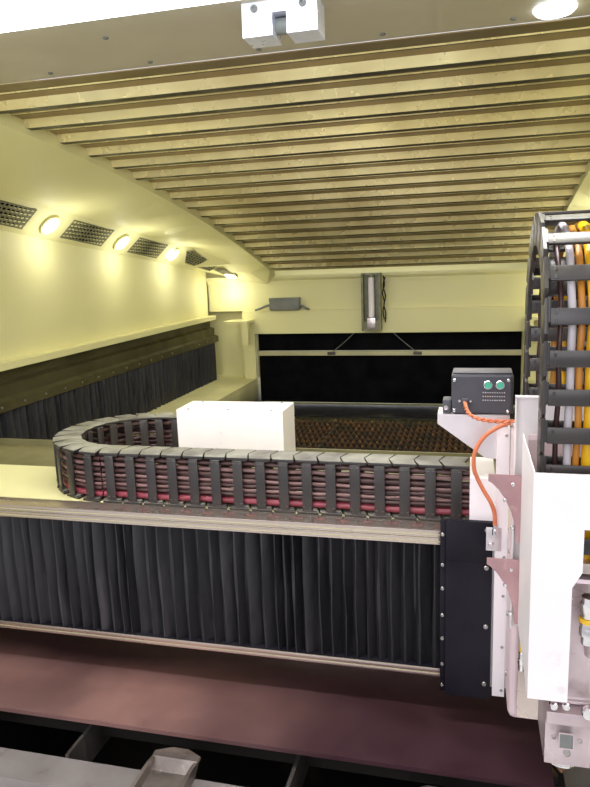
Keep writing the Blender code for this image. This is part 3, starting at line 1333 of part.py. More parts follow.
def make_carriage():
    """Saddle on the gantry's rails with the black cover, white strip, column and chain channel."""
    low = (SADDLE_LEFT_X, SADDLE_FRONT_Y, SADDLE_LOW_Z)
    high = (SADDLE_RIGHT_X, SADDLE_BACK_Y, SADDLE_HIGH_Z)
    saddle = block("saddle", low, high, dark_steel, carriage)
    rail_face = WEB_Y - X_RAIL_DEPTH
    block_back = WEB_Y - SLIDE_CLEARANCE
    inset = SADDLE_BLOCK_INSET
    arm_high = X_CHAIN_LOW_Z + X_CHAIN_WIDTH
    arm_left = X_CHAIN_RIGHT_X + GAP
    arm_low = BEAM_TOP + CHAIN_ARM_LIFT
    chain_back = X_CHAIN_FRONT_Y + X_CHAIN_LINK / 2
    pieces = [
        block(
            "bearing",
            (SADDLE_LEFT_X + inset, SADDLE_BACK_Y - OVERRUN / 2, SADDLE_BLOCK_LOW_Z),
            (SADDLE_RIGHT_X - inset, block_back, SADDLE_BLOCK_HIGH_Z),
        ),
        block(
            "column_seat",
            (COLUMN_LEFT_X, COLUMN_BACK_Y + GAP, SADDLE_BLOCK_LOW_Z),
            (SADDLE_RIGHT_X, SADDLE_FRONT_Y + OVERRUN / 2, SADDLE_HIGH_Z),
        ),
        block(
            "chain_arm",
            (arm_left, SADDLE_FRONT_Y, arm_low),
            (arm_left + CHAIN_ARM_WIDTH, chain_back, arm_high),
        ),
        block(
            "arm_foot",
            (arm_left, SADDLE_FRONT_Y, SADDLE_HIGH_Z - OVERRUN),
            (arm_left + CHAIN_ARM_WIDTH, SADDLE_BACK_Y, arm_high),
        ),
    ]
    combine(saddle, pieces)
    grooves = []
    for z in (X_RAIL_LOW_Z, X_RAIL_HIGH_Z):
        low = (SADDLE_LEFT_X - OVERRUN, rail_face - SLIDE_CLEARANCE, z - SLIDE_CLEARANCE)
        high = (SADDLE_RIGHT_X + OVERRUN, WEB_Y + OVERRUN, z + X_RAIL_HEIGHT + SLIDE_CLEARANCE)
        grooves.append(block("rail_groove", low, high))
    combine(saddle, grooves, "DIFFERENCE")

    plate = BLACK_COVER_PLATE
    face = SADDLE_FRONT_Y - GAP
    front = face - BLACK_COVER_RETURN
    low = (BLACK_COVER_LEFT_X, front, BLACK_COVER_LOW_Z)
    cover = block("black_cover", low, (BLACK_COVER_RIGHT_X, face, BLACK_COVER_HIGH_Z), black_paint, carriage)
    low = (BLACK_COVER_LEFT_X + plate, front + plate, BLACK_COVER_LOW_Z - OVERRUN)
    high = (BLACK_COVER_RIGHT_X - plate, face + OVERRUN, BLACK_COVER_HIGH_Z - plate)
    combine(cover, [block("inside", low, high)], "DIFFERENCE")

    wall = STRIP_WALL
    strip_front = face - STRIP_DEPTH + GAP
    right = STRIP_LEFT_X + STRIP_WIDTH
    shape = [
        (STRIP_LEFT_X, strip_front),
        (right, strip_front),
        (right, face),
        (right - wall, face),
        (right - wall, strip_front + wall),
        (STRIP_LEFT_X + wall, strip_front + wall),
        (STRIP_LEFT_X + wall, face),
        (STRIP_LEFT_X, face),
    ]
    outline("white_strip", shape, "XY", STRIP_LOW_Z, STRIP_HIGH_Z, white_paint, carriage)

    low = (COLUMN_LEFT_X, COLUMN_FRONT_Y, COLUMN_LOW_Z)
    column = block("z_column", low, (SADDLE_RIGHT_X, COLUMN_BACK_Y, COLUMN_HIGH_Z), white_paint, carriage)
    bevel(column, COLUMN_BEVEL)
    chain_back_y = Z_CHAIN_CENTRE_Y + Z_CHAIN_RADIUS
    chain_low = Z_CHAIN_CENTRE_Z - Z_CHAIN_BACK_LINKS * LINK_PITCH
    end_front = chain_back_y - Z_CHAIN_LINK / 2
    pieces = [
        block(
            "chain_foot",
            (Z_CHAIN_LEFT_X, end_front, COLUMN_HIGH_Z - OVERRUN),
            (Z_CHAIN_LEFT_X + Z_CHAIN_WIDTH, COLUMN_BACK_Y - COLUMN_BEVEL, chain_low - GAP),
        )
    ]
    rail_low, rail_high = COLUMN_LOW_Z + Z_RAIL_INSET / 2, COLUMN_HIGH_Z - Z_RAIL_INSET
    for x in z_rail_places():
        low = (x - Z_RAIL_WIDTH / 2, COLUMN_FRONT_Y - Z_RAIL_HEIGHT, rail_low)
        pieces.append(block("z_rail", low, (x + Z_RAIL_WIDTH / 2, COLUMN_FRONT_Y + OVERRUN, rail_high)))
    combine(column, pieces)

    front = COLUMN_FRONT_Y - GAP
    leg_right = COLUMN_LEFT_X + CHANNEL_LEG
    step = COLUMN_HIGH_Z + GAP
    shape = [
        (COLUMN_LEFT_X, CHANNEL_LOW_Z),
        (leg_right, CHANNEL_LOW_Z),
        (leg_right, step),
        (SADDLE_RIGHT_X, step),
        (SADDLE_RIGHT_X, CHANNEL_HIGH_Z),
        (COLUMN_LEFT_X, CHANNEL_HIGH_Z),
    ]
    panel = outline("chain_channel", shape, "XZ", front - CHANNEL_PLATE, front, white_paint, carriage)
    rims = [
        block(
            "left_rim",
            (COLUMN_LEFT_X, front - CHANNEL_RIM, CHANNEL_LOW_Z),
            (COLUMN_LEFT_X + CHANNEL_PLATE / 2, front, CHANNEL_HIGH_Z),
        ),
        block(
            "top_rim",
            (COLUMN_LEFT_X, front - CHANNEL_RIM, CHANNEL_HIGH_Z - CHANNEL_PLATE / 2),
            (SADDLE_RIGHT_X, front, CHANNEL_HIGH_Z),
        ),
    ]
    combine(panel, rims)


def z_rail_places():
    """Middle of each vertical guide rail across the column."""
    return COLUMN_LEFT_X + Z_RAIL_INSET, SADDLE_RIGHT_X - Z_RAIL_INSET


def make_control_box():
    """Push-button box on its white bracket, with two buttons and the two orange cables."""
    bracket_back = SADDLE_FRONT_Y + BRACKET_PLATE
    box_back = bracket_back + CONTROL_BOX_DEPTH
    left = CONTROL_BOX_LEFT_X
    right = left + CONTROL_BOX_WIDTH
    low_z = CONTROL_BOX_LOW_Z
    high_z = low_z + CONTROL_BOX_HEIGHT
    front = box_back - CONTROL_BOX_DEPTH
    box = block("control_box", (left, front, low_z), (right, box_back, high_z), box_plastic, carriage)
    bevel(box, CONTROL_BOX_BEVEL)
    holes = []
    for index, word in enumerate(("left", "right")):
        x = left + BUTTON_FIRST_SHARE * CONTROL_BOX_WIDTH + index * BUTTON_PITCH
        z = low_z + BUTTON_HEIGHT_SHARE * CONTROL_BOX_HEIGHT
        depth = BUTTON_STEM + BUTTON_HEIGHT
        holes.append(rod("hole", BUTTON_RADIUS + BUTTON_CLEARANCE, (x, front - OVERRUN, z), (x, front + depth, z)))
        seat = empty_at(word + "_button_axis", (x, front, z), carriage)
        start, end = (x, front - BUTTON_HEIGHT, z), (x, front + BUTTON_STEM, z)
        rod(word + "_button", BUTTON_RADIUS, start, end, green_plastic, seat)
    combine(box, holes, "DIFFERENCE")

    top = low_z - GAP
    shelf_low = top - BRACKET_PLATE
    bottom = top - BRACKET_DROP
    strip_right = STRIP_LEFT_X + STRIP_WIDTH
    shape = [
        (left - BRACKET_LEFT, top),
        (left - BRACKET_LEFT, top - BRACKET_CHEEK),
        (STRIP_LEFT_X - BRACKET_CHEEK, bottom),
        (strip_right, bottom),
        (strip_right, top),
    ]
    bracket = outline("box_bracket", shape, "XZ", SADDLE_FRONT_Y, bracket_back, white_paint, carriage)
    low = (left - BRACKET_LEFT, SADDLE_FRONT_Y, shelf_low)
    combine(bracket, [block("shelf", low, (strip_right, box_back, top))])

    socket_x = left + CONTROL_BOX_WIDTH * SOCKET_SHARES[0]
    socket_z = low_z + CONTROL_BOX_HEIGHT * SOCKET_SHARES[1]
    out = front - 3 * ORANGE_CABLE_RADIUS
    down = low_z + ORANGE_CABLE_RADIUS
    lane = COLUMN_FRONT_Y + COLUMN_DEPTH / 2
    route = [
        (socket_x, front - GAP, socket_z),
        (socket_x, front - 2 * ORANGE_CABLE_RADIUS, socket_z),
        (socket_x + ORANGE_CABLE_RADIUS / 2, out, socket_z - ORANGE_CABLE_RADIUS / 2),
        (socket_x + BUTTON_PITCH, out - ORANGE_CABLE_RADIUS, down + ORANGE_CABLE_RADIUS),
        (socket_x + 2 * BUTTON_PITCH, out - ORANGE_CABLE_RADIUS, down),
        (right - BUTTON_RADIUS, (out + lane) / 2, down),
        (COLUMN_LEFT_X + CHANNEL_LEG, lane, down + ORANGE_CABLE_RADIUS),
    ]
    cable("box_cable", route, ORANGE_CABLE_RADIUS, orange_sleeve, carriage, 20)


def make_head():
    """Slide plate, white cover, fins, cutting head with its block, nozzle ring, nozzle and fibre."""
    left = COVER_LEFT_X + COVER_SHEET + GAP
    right = COVER_RIGHT_X - COVER_SHEET - GAP
    low = (left, PLATE_FRONT_Y, PLATE_LOW_Z)
    plate = block("slide_plate", low, (right, PLATE_BACK_Y, PLATE_HIGH_Z), stainless, head)
    pieces = []
    for x in z_rail_places():
        for z in (PLATE_LOW_Z + BEARING_HEIGHT, PLATE_HIGH_Z - 2 * BEARING_HEIGHT):
            edges = (x - Z_RAIL_WIDTH, x + Z_RAIL_WIDTH)
            low = (max(edges[0], left), PLATE_BACK_Y - SLIDE_CLEARANCE, z)
            high = (min(edges[1], right), COLUMN_FRONT_Y - SLIDE_CLEARANCE, z + BEARING_HEIGHT)
            pieces.append(block("bearing", low, high))
    arm_front = Z_CHAIN_CENTRE_Y - Z_CHAIN_RADIUS - Z_CHAIN_LINK / 2
    chain_end = Z_CHAIN_CENTRE_Z - Z_CHAIN_FRONT_LINKS * LINK_PITCH
    arm_top = chain_end - GAP
    low = (Z_CHAIN_LEFT_X, arm_front, arm_top - PLATE_ARM_THICK)
    pieces.append(block("chain_arm", low, (Z_CHAIN_LEFT_X + Z_CHAIN_WIDTH, PLATE_BACK_Y, arm_top)))
    half = BODY_WIDTH / 2
    for z in (BLOCK_HIGH_Z + OVERRUN, BODY_TOP - 3 * OVERRUN):
        low = (HEAD_X - half, BODY_BACK_Y + GAP, z)
        pieces.append(block("spacer", low, (HEAD_X + half, PLATE_BACK_Y - SLIDE_CLEARANCE, z + 2 * OVERRUN)))
    combine(plate, pieces)
    grooves = []
    for x in z_rail_places():
        wide = Z_RAIL_WIDTH / 2 + SLIDE_CLEARANCE
        low = (x - wide, COLUMN_FRONT_Y - Z_RAIL_HEIGHT - SLIDE_CLEARANCE, PLATE_LOW_Z - OVERRUN)
        grooves.append(block("groove", low, (x + wide, COLUMN_FRONT_Y + OVERRUN, PLATE_HIGH_Z + OVERRUN)))
    combine(plate, grooves, "DIFFERENCE")

    width = COVER_RIGHT_X - COVER_LEFT_X
    slot_top = COVER_LEFT_X + COVER_SLOT_TOP_SHARE * width
    waist = COVER_LEFT_X + COVER_SLOT_WAIST_SHARE * width
    sheet = COVER_SHEET
    leg_left, leg_right = COVER_RIGHT_X - 3 * sheet, COVER_RIGHT_X - sheet / 2
    shape = [
        (COVER_LEFT_X + sheet / 2, COVER_LOW_Z + sheet / 4),
        (waist, COVER_LOW_Z + sheet / 4),
        (waist, COVER_SLOT_WAIST),
        (slot_top, COVER_SLOT_SHOULDER),
        (slot_top, COVER_SLOT_TOP),
        (leg_left, COVER_SLOT_TOP),
        (leg_left, COVER_LEG_LOW_Z + sheet / 4),
        (leg_right, COVER_LEG_LOW_Z + sheet / 4),
        (leg_right, COVER_HIGH_Z - sheet / 4),
        (COVER_LEFT_X + sheet / 2, COVER_HIGH_Z - sheet / 4),
    ]
    front = COVER_FRONT_Y
    cover = outline("head_cover", shape, "XZ", front, front + sheet, white_paint, head)
    flange_front = front + sheet / 4
    low = (COVER_LEFT_X, flange_front, COVER_LOW_Z)
    left_flange = block("left_flange", low, (COVER_LEFT_X + sheet, COVER_REAR_Y, COVER_HIGH_Z))
    low = (COVER_RIGHT_X - sheet, flange_front, COVER_LEG_LOW_Z)
    right_flange = block("right_flange", low, (COVER_RIGHT_X, COVER_REAR_Y, COVER_HIGH_Z))
    combine(cover, [left_flange, right_flange])

    for name, top in (("upper_fin", FIN_UPPER_Z), ("lower_fin", FIN_LOWER_Z)):
        make_fin(name, top)

    half_depth = BODY_DEPTH / 2
    low = (HEAD_X - half, HEAD_Y - half_depth, BLOCK_HIGH_Z + GAP)
    body = block("head_body", low, (HEAD_X + half, HEAD_Y + half_depth, BODY_TOP), head_metal, head)
    bevel(body, BODY_BEVEL)
    coupling_x = HEAD_X + half - COUPLING_RADIUS / 2
    coupling_y = HEAD_Y - half_depth - COUPLING_RADIUS / 2
    start = (coupling_x, coupling_y, COUPLING_Z - COUPLING_LENGTH / 2)
    combine(body, [rod("coupling", COUPLING_RADIUS, start, (start[0], start[1], start[2] + COUPLING_LENGTH))])

    make_sensor_block()
    make_ring_and_nozzle()

    fibre_x = left + FIBRE_RADIUS + COVER_SHEET
    fibre_y = PLATE_FRONT_Y - FIBRE_RADIUS - GAP
    start, end = (fibre_x, fibre_y, FIBRE_LOW_Z), (fibre_x, fibre_y, FIBRE_HIGH_Z)
    rod("fibre_tube", FIBRE_RADIUS, start, end, yellow_sleeve, head, sides=16)


def make_fin(name, top):
    """Stainless gusset with a concave front edge, screwed to the cover's left flange."""
    right = COVER_LEFT_X - GAP
    left = right - FIN_REACH
    points = [(right, top), (left, top), (left, top - FIN_TIP)]
    steps = 6
    for index in range(1, steps + 1):
        angle = math.pi / 2 * index / steps
        x = left + (FIN_REACH - FIN_TIP / 2) * math.sin(angle) ** 1.5
        z = top - FIN_TIP - (FIN_HEIGHT - FIN_TIP) * (1 - math.cos(angle))
        points.append((x, z))
    points.append((right, top - FIN_HEIGHT))
    outline(name, points, "XZ", COVER_REAR_Y - FIN_SHEET, COVER_REAR_Y, stainless, head)


def make_sensor_block():
    """Lower block of the head: chamfered top, window recess and a knob."""
    half = BLOCK_WIDTH / 2
    back = HEAD_Y + BLOCK_DEPTH / 2
    front = BLOCK_FRONT_Y
    section = [
        (front, BLOCK_LOW_Z),
        (back, BLOCK_LOW_Z),
        (back, BLOCK_HIGH_Z),
        (front + BLOCK_CHAMFER, BLOCK_HIGH_Z),
        (front, BLOCK_HIGH_Z - BLOCK_CHAMFER),
    ]
    body = outline("sensor_block", section, "YZ", HEAD_X - half, HEAD_X + half, head_metal, head)
    low = (HEAD_X - WINDOW_WIDTH / 2, front - OVERRUN, WINDOW_Z - WINDOW_HEIGHT / 2)
    high = (HEAD_X + WINDOW_WIDTH / 2, front + WINDOW_DEPTH, WINDOW_Z + WINDOW_HEIGHT / 2)
    combine(body, [block("window", low, high)], "DIFFERENCE")
    knob_x = HEAD_X + half - KNOB_RADIUS / 2
    knob_z = BLOCK_HIGH_Z - 3 * KNOB_RADIUS / 2
    start = (knob_x, front + BLOCK_CHAMFER, knob_z)
    combine(body, [rod("knob", KNOB_RADIUS, start, (knob_x, front - KNOB_LENGTH, knob_z), sides=16)])


def make_ring_and_nozzle():
    """Knurled ring that holds the nozzle, and the nozzle under it."""
    top = BLOCK_LOW_Z - GAP
    points = []
    for index in range(RING_RIDGES * 2):
        angle = math.pi * index / RING_RIDGES
        radius = RING_RADIUS - (RING_RIDGE_DEPTH if index % 2 else 0)
        points.append((HEAD_X + radius * math.cos(angle), HEAD_Y + radius * math.sin(angle)))
    ring = outline("nozzle_ring", points, "XY", top - RING_HEIGHT + RING_CHAMFER, top, chrome, head)
    centre = (HEAD_X, HEAD_Y)
    end_radius = RING_RADIUS - RING_CHAMFER
    start = (*centre, top - RING_HEIGHT + RING_CHAMFER + RING_CHAMFER / 2)
    cone = rod(
        "lower_edge", RING_RADIUS - RING_RIDGE_DEPTH, start, (*centre, top - RING_HEIGHT), end_radius=end_radius
    )
    combine(ring, [cone])
    nozzle_top = top - RING_HEIGHT - GAP
    profile = [
        (0, nozzle_top),
        (NOZZLE_TOP_RADIUS, nozzle_top),
        (NOZZLE_TOP_RADIUS, nozzle_top - NOZZLE_COLLAR),
        (NOZZLE_TIP_RADIUS, nozzle_top - NOZZLE_LENGTH),
        (0, nozzle_top - NOZZLE_LENGTH),
    ]
    turned("nozzle", profile, copper, head)


def turned(name, profile, surface, holder):
    """A turned solid from a profile that runs down its outer side, about the head's axis."""
    sketch = bmesh.new()
    verts = [sketch.verts.new((radius, 0, z - profile[0][1])) for radius, z in profile]
    for first, second in zip(verts, verts[1:]):
        sketch.edges.new((first, second))
    mesh = bpy.data.meshes.new(name)
    sketch.to_mesh(mesh)
    sketch.free()
    matrix = Matrix.Translation((HEAD_X, HEAD_Y, profile[0][1]))
    item = place(name, mesh, surface, holder, matrix)
    screw = item.modifiers.new("screw", "SCREW")
    screw.steps = 24
    screw.render_steps = 24
    screw.use_merge_vertices = True
    screw.merge_threshold = GAP / 10
    return item


make_base()
make_side_panels()
make_ducts()
make_walls()
make_roof()
make_header()
make_rear_end()
make_curtain()
make_pallet()
make_gantry()
make_bellows()
make_x_chain()
make_z_chain()
make_carriage()
make_control_box()
make_head()
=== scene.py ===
import math
import random

import bmesh
import bpy
from mathutils import Matrix, Vector


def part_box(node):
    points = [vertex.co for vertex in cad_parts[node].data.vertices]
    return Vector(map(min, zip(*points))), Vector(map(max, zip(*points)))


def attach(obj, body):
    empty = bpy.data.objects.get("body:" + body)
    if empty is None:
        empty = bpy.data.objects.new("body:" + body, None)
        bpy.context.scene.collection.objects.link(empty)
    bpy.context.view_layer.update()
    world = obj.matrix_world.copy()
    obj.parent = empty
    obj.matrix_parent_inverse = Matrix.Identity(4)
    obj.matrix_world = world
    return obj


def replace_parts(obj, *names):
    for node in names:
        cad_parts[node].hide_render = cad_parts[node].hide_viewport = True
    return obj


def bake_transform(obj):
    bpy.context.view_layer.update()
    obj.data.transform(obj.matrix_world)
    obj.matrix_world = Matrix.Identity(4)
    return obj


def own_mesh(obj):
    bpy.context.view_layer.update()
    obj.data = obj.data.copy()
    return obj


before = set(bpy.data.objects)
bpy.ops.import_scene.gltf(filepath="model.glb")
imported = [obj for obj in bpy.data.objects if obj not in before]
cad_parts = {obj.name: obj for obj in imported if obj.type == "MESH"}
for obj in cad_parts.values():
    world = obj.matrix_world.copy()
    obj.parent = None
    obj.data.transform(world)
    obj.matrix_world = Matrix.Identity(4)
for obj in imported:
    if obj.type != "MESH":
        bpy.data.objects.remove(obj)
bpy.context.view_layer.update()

for spare in ("Cube", "Light", "Camera"):
    if spare in bpy.data.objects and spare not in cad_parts:
        bpy.data.objects.remove(bpy.data.objects[spare])


def report(stage):
    print("laser machine:", stage)


# Camera

photoCamera = {
    "place": (0.60, -2.90, 1.90),
    "yaw": -14.643,        # degrees, to the left of +Y
    "pitch": -10.731,      # degrees, looking down
    "roll": -2.090,
    "lens": 31.27,
    "sensor": 36.0,
}


def aimCamera(settings):
    yaw, pitch, roll = (math.radians(settings[key]) for key in ("yaw", "pitch", "roll"))
    forward = Vector((math.sin(yaw) * math.cos(pitch), math.cos(yaw) * math.cos(pitch), math.sin(pitch)))
    level = Vector((math.cos(yaw), -math.sin(yaw), 0))
    upright = level.cross(forward)
    right = level * math.cos(roll) + upright * math.sin(roll)
    up = upright * math.cos(roll) - level * math.sin(roll)
    lensData = bpy.data.cameras.new("photoCamera")
    lensData.lens = settings["lens"]
    lensData.sensor_width = settings["sensor"]
    lensData.clip_start = 0.05
    cameraObject = bpy.data.objects.new("photoCamera", lensData)
    bpy.context.scene.collection.objects.link(cameraObject)
    turn = Matrix((right, up, -forward)).transposed()
    cameraObject.matrix_world = Matrix.Translation(settings["place"]) @ turn.to_4x4()
    bpy.context.scene.camera = cameraObject


aimCamera(photoCamera)
bpy.context.scene.view_settings.view_transform = "Standard"
report("camera set")


# Finishes: small helpers that join shader nodes

def newMaterial(name):
    material = bpy.data.materials.new(name)
    material.use_nodes = True
    return material, material.node_tree, material.node_tree.nodes["Principled BSDF"]


def feed(tree, value, socket):
    if isinstance(value, bpy.types.NodeSocket):
        tree.links.new(value, socket)
    elif isinstance(value, tuple) and len(value) == 3 and socket.type == "RGBA":
        socket.default_value = (*value, 1)
    else:
        socket.default_value = value


def objectPlace(tree, stretch=(1, 1, 1)):
    place = tree.nodes.new("ShaderNodeTexCoord")
    mapping = tree.nodes.new("ShaderNodeMapping")
    mapping.inputs["Scale"].default_value = stretch
    tree.links.new(place.outputs["Object"], mapping.inputs["Vector"])
    return mapping.outputs["Vector"]


def noiseShare(tree, scale, stretch=(1, 1, 1), detail=4, low=0.35, high=0.65):
    noise = tree.nodes.new("ShaderNodeTexNoise")
    noise.inputs["Scale"].default_value = scale
    noise.inputs["Detail"].default_value = detail
    tree.links.new(objectPlace(tree, stretch), noise.inputs["Vector"])
    return rangeShare(tree, noise.outputs["Fac"], low, high)


def rangeShare(tree, value, low, high, first=0.0, last=1.0):
    spread = tree.nodes.new("ShaderNodeMapRange")
    for socket, number in zip(("From Min", "From Max", "To Min", "To Max"), (low, high, first, last)):
        spread.inputs[socket].default_value = number
    feed(tree, value, spread.inputs["Value"])
    return spread.outputs["Result"]


def joined(tree, operation, first, second):
    node = tree.nodes.new("ShaderNodeMath")
    node.operation = operation
    node.use_clamp = True
    feed(tree, first, node.inputs[0])
    feed(tree, second, node.inputs[1])
    return node.outputs["Value"]


def mixColours(tree, share, first, second):
    mixer = tree.nodes.new("ShaderNodeMix")
    mixer.data_type = "RGBA"
    feed(tree, share, mixer.inputs[0])
    feed(tree, first, mixer.inputs[6])
    feed(tree, second, mixer.inputs[7])
    return mixer.outputs[2]


def upwardShare(tree, low=0.3, high=0.9):
    facing = tree.nodes.new("ShaderNodeNewGeometry")
    parts = tree.nodes.new("ShaderNodeSeparateXYZ")
    tree.links.new(facing.outputs["Normal"], parts.inputs["Vector"])
    return rangeShare(tree, parts.outputs["Z"], low, high)


def axisShare(tree, axis, low, high):
    parts = tree.nodes.new("ShaderNodeSeparateXYZ")
    tree.links.new(objectPlace(tree), parts.inputs["Vector"])
    return rangeShare(tree, parts.outputs[axis], low, high)


def addBump(tree, shader, heights):
    above = None
    for share, depth in heights:
        bump = tree.nodes.new("ShaderNodeBump")
        bump.inputs["Strength"].default_value = 1.0
        bump.inputs["Distance"].default_value = depth
        tree.links.new(share, bump.inputs["Height"])
        if above is not None:
            tree.links.new(above, bump.inputs["Normal"])
        above = bump.outputs["Normal"]
    tree.links.new(above, shader.inputs["Normal"])


evenly = (1, 1, 1)
frontward, upward, downward = (0, -1, 0), (0, 0, 1), (0, 0, -1)

wornSettings = {
    "markDetail": 6,
    "dustAndSheenScale": 14, "dustAndSheenDetail": 5, "dustAndSheenFrom": 0.25, "dustAndSheenTo": 0.7,
    "roughScale": 9, "coatRoughness": 0.1,
    "bumpFrom": 0.2, "bumpTo": 0.8, "grainDetail": 3, "swellDetail": 2,
    "swell": (0.0005, 5),       # depth and scale where a finish gives none
}


# Most finishes: two tones in patches, marks, dust and a painted highlight on what faces up, grain and swell
# as bump
def wornFinish(name, settings):
    w = wornSettings
    material, tree, shader = newMaterial(name)
    stretch = settings.get("stretch", evenly)
    colour = mixColours(tree, noiseShare(tree, settings["patches"], stretch), *settings["tones"])
    if "marks" in settings:
        tone, scale, low, high = settings["marks"]
        marks = noiseShare(tree, scale, settings.get("markStretch", stretch), w["markDetail"], low, high)
        colour = mixColours(tree, marks, colour, tone)
    # a lighter tone on up-facing faces: dust, and a painted highlight where light falls on tops
    if "dustAndSheen" in settings:
        tone, most = settings["dustAndSheen"]
        dustAndSheen = noiseShare(tree, w["dustAndSheenScale"], evenly, w["dustAndSheenDetail"], w["dustAndSheenFrom"], w["dustAndSheenTo"])
        dustAndSheen = joined(tree, "MULTIPLY", joined(tree, "MULTIPLY", upwardShare(tree), dustAndSheen), most)
        colour = mixColours(tree, dustAndSheen, colour, tone)
    feed(tree, colour, shader.inputs["Base Color"])
    rough = noiseShare(tree, w["roughScale"], stretch)
    feed(tree, rangeShare(tree, rough, 0, 1, *settings["roughness"]), shader.inputs["Roughness"])
    feed(tree, settings.get("metallic", 0.0), shader.inputs["Metallic"])
    feed(tree, settings.get("coat", 0.0), shader.inputs["Coat Weight"])
    feed(tree, w["coatRoughness"], shader.inputs["Coat Roughness"])
    feed(tree, settings.get("specular", 0.5), shader.inputs["Specular IOR Level"])
    grainDepth, grainScale = settings["grain"]
    swellDepth, swellScale = settings.get("swell", w["swell"])
    grainStretch = settings.get("grainStretch", evenly)
    grain = noiseShare(tree, grainScale, grainStretch, w["grainDetail"], w["bumpFrom"], w["bumpTo"])
    swell = noiseShare(tree, swellScale, evenly, w["swellDetail"], w["bumpFrom"], w["bumpTo"])
    addBump(tree, shader, [(grain, grainDepth), (swell, swellDepth)])
    return material
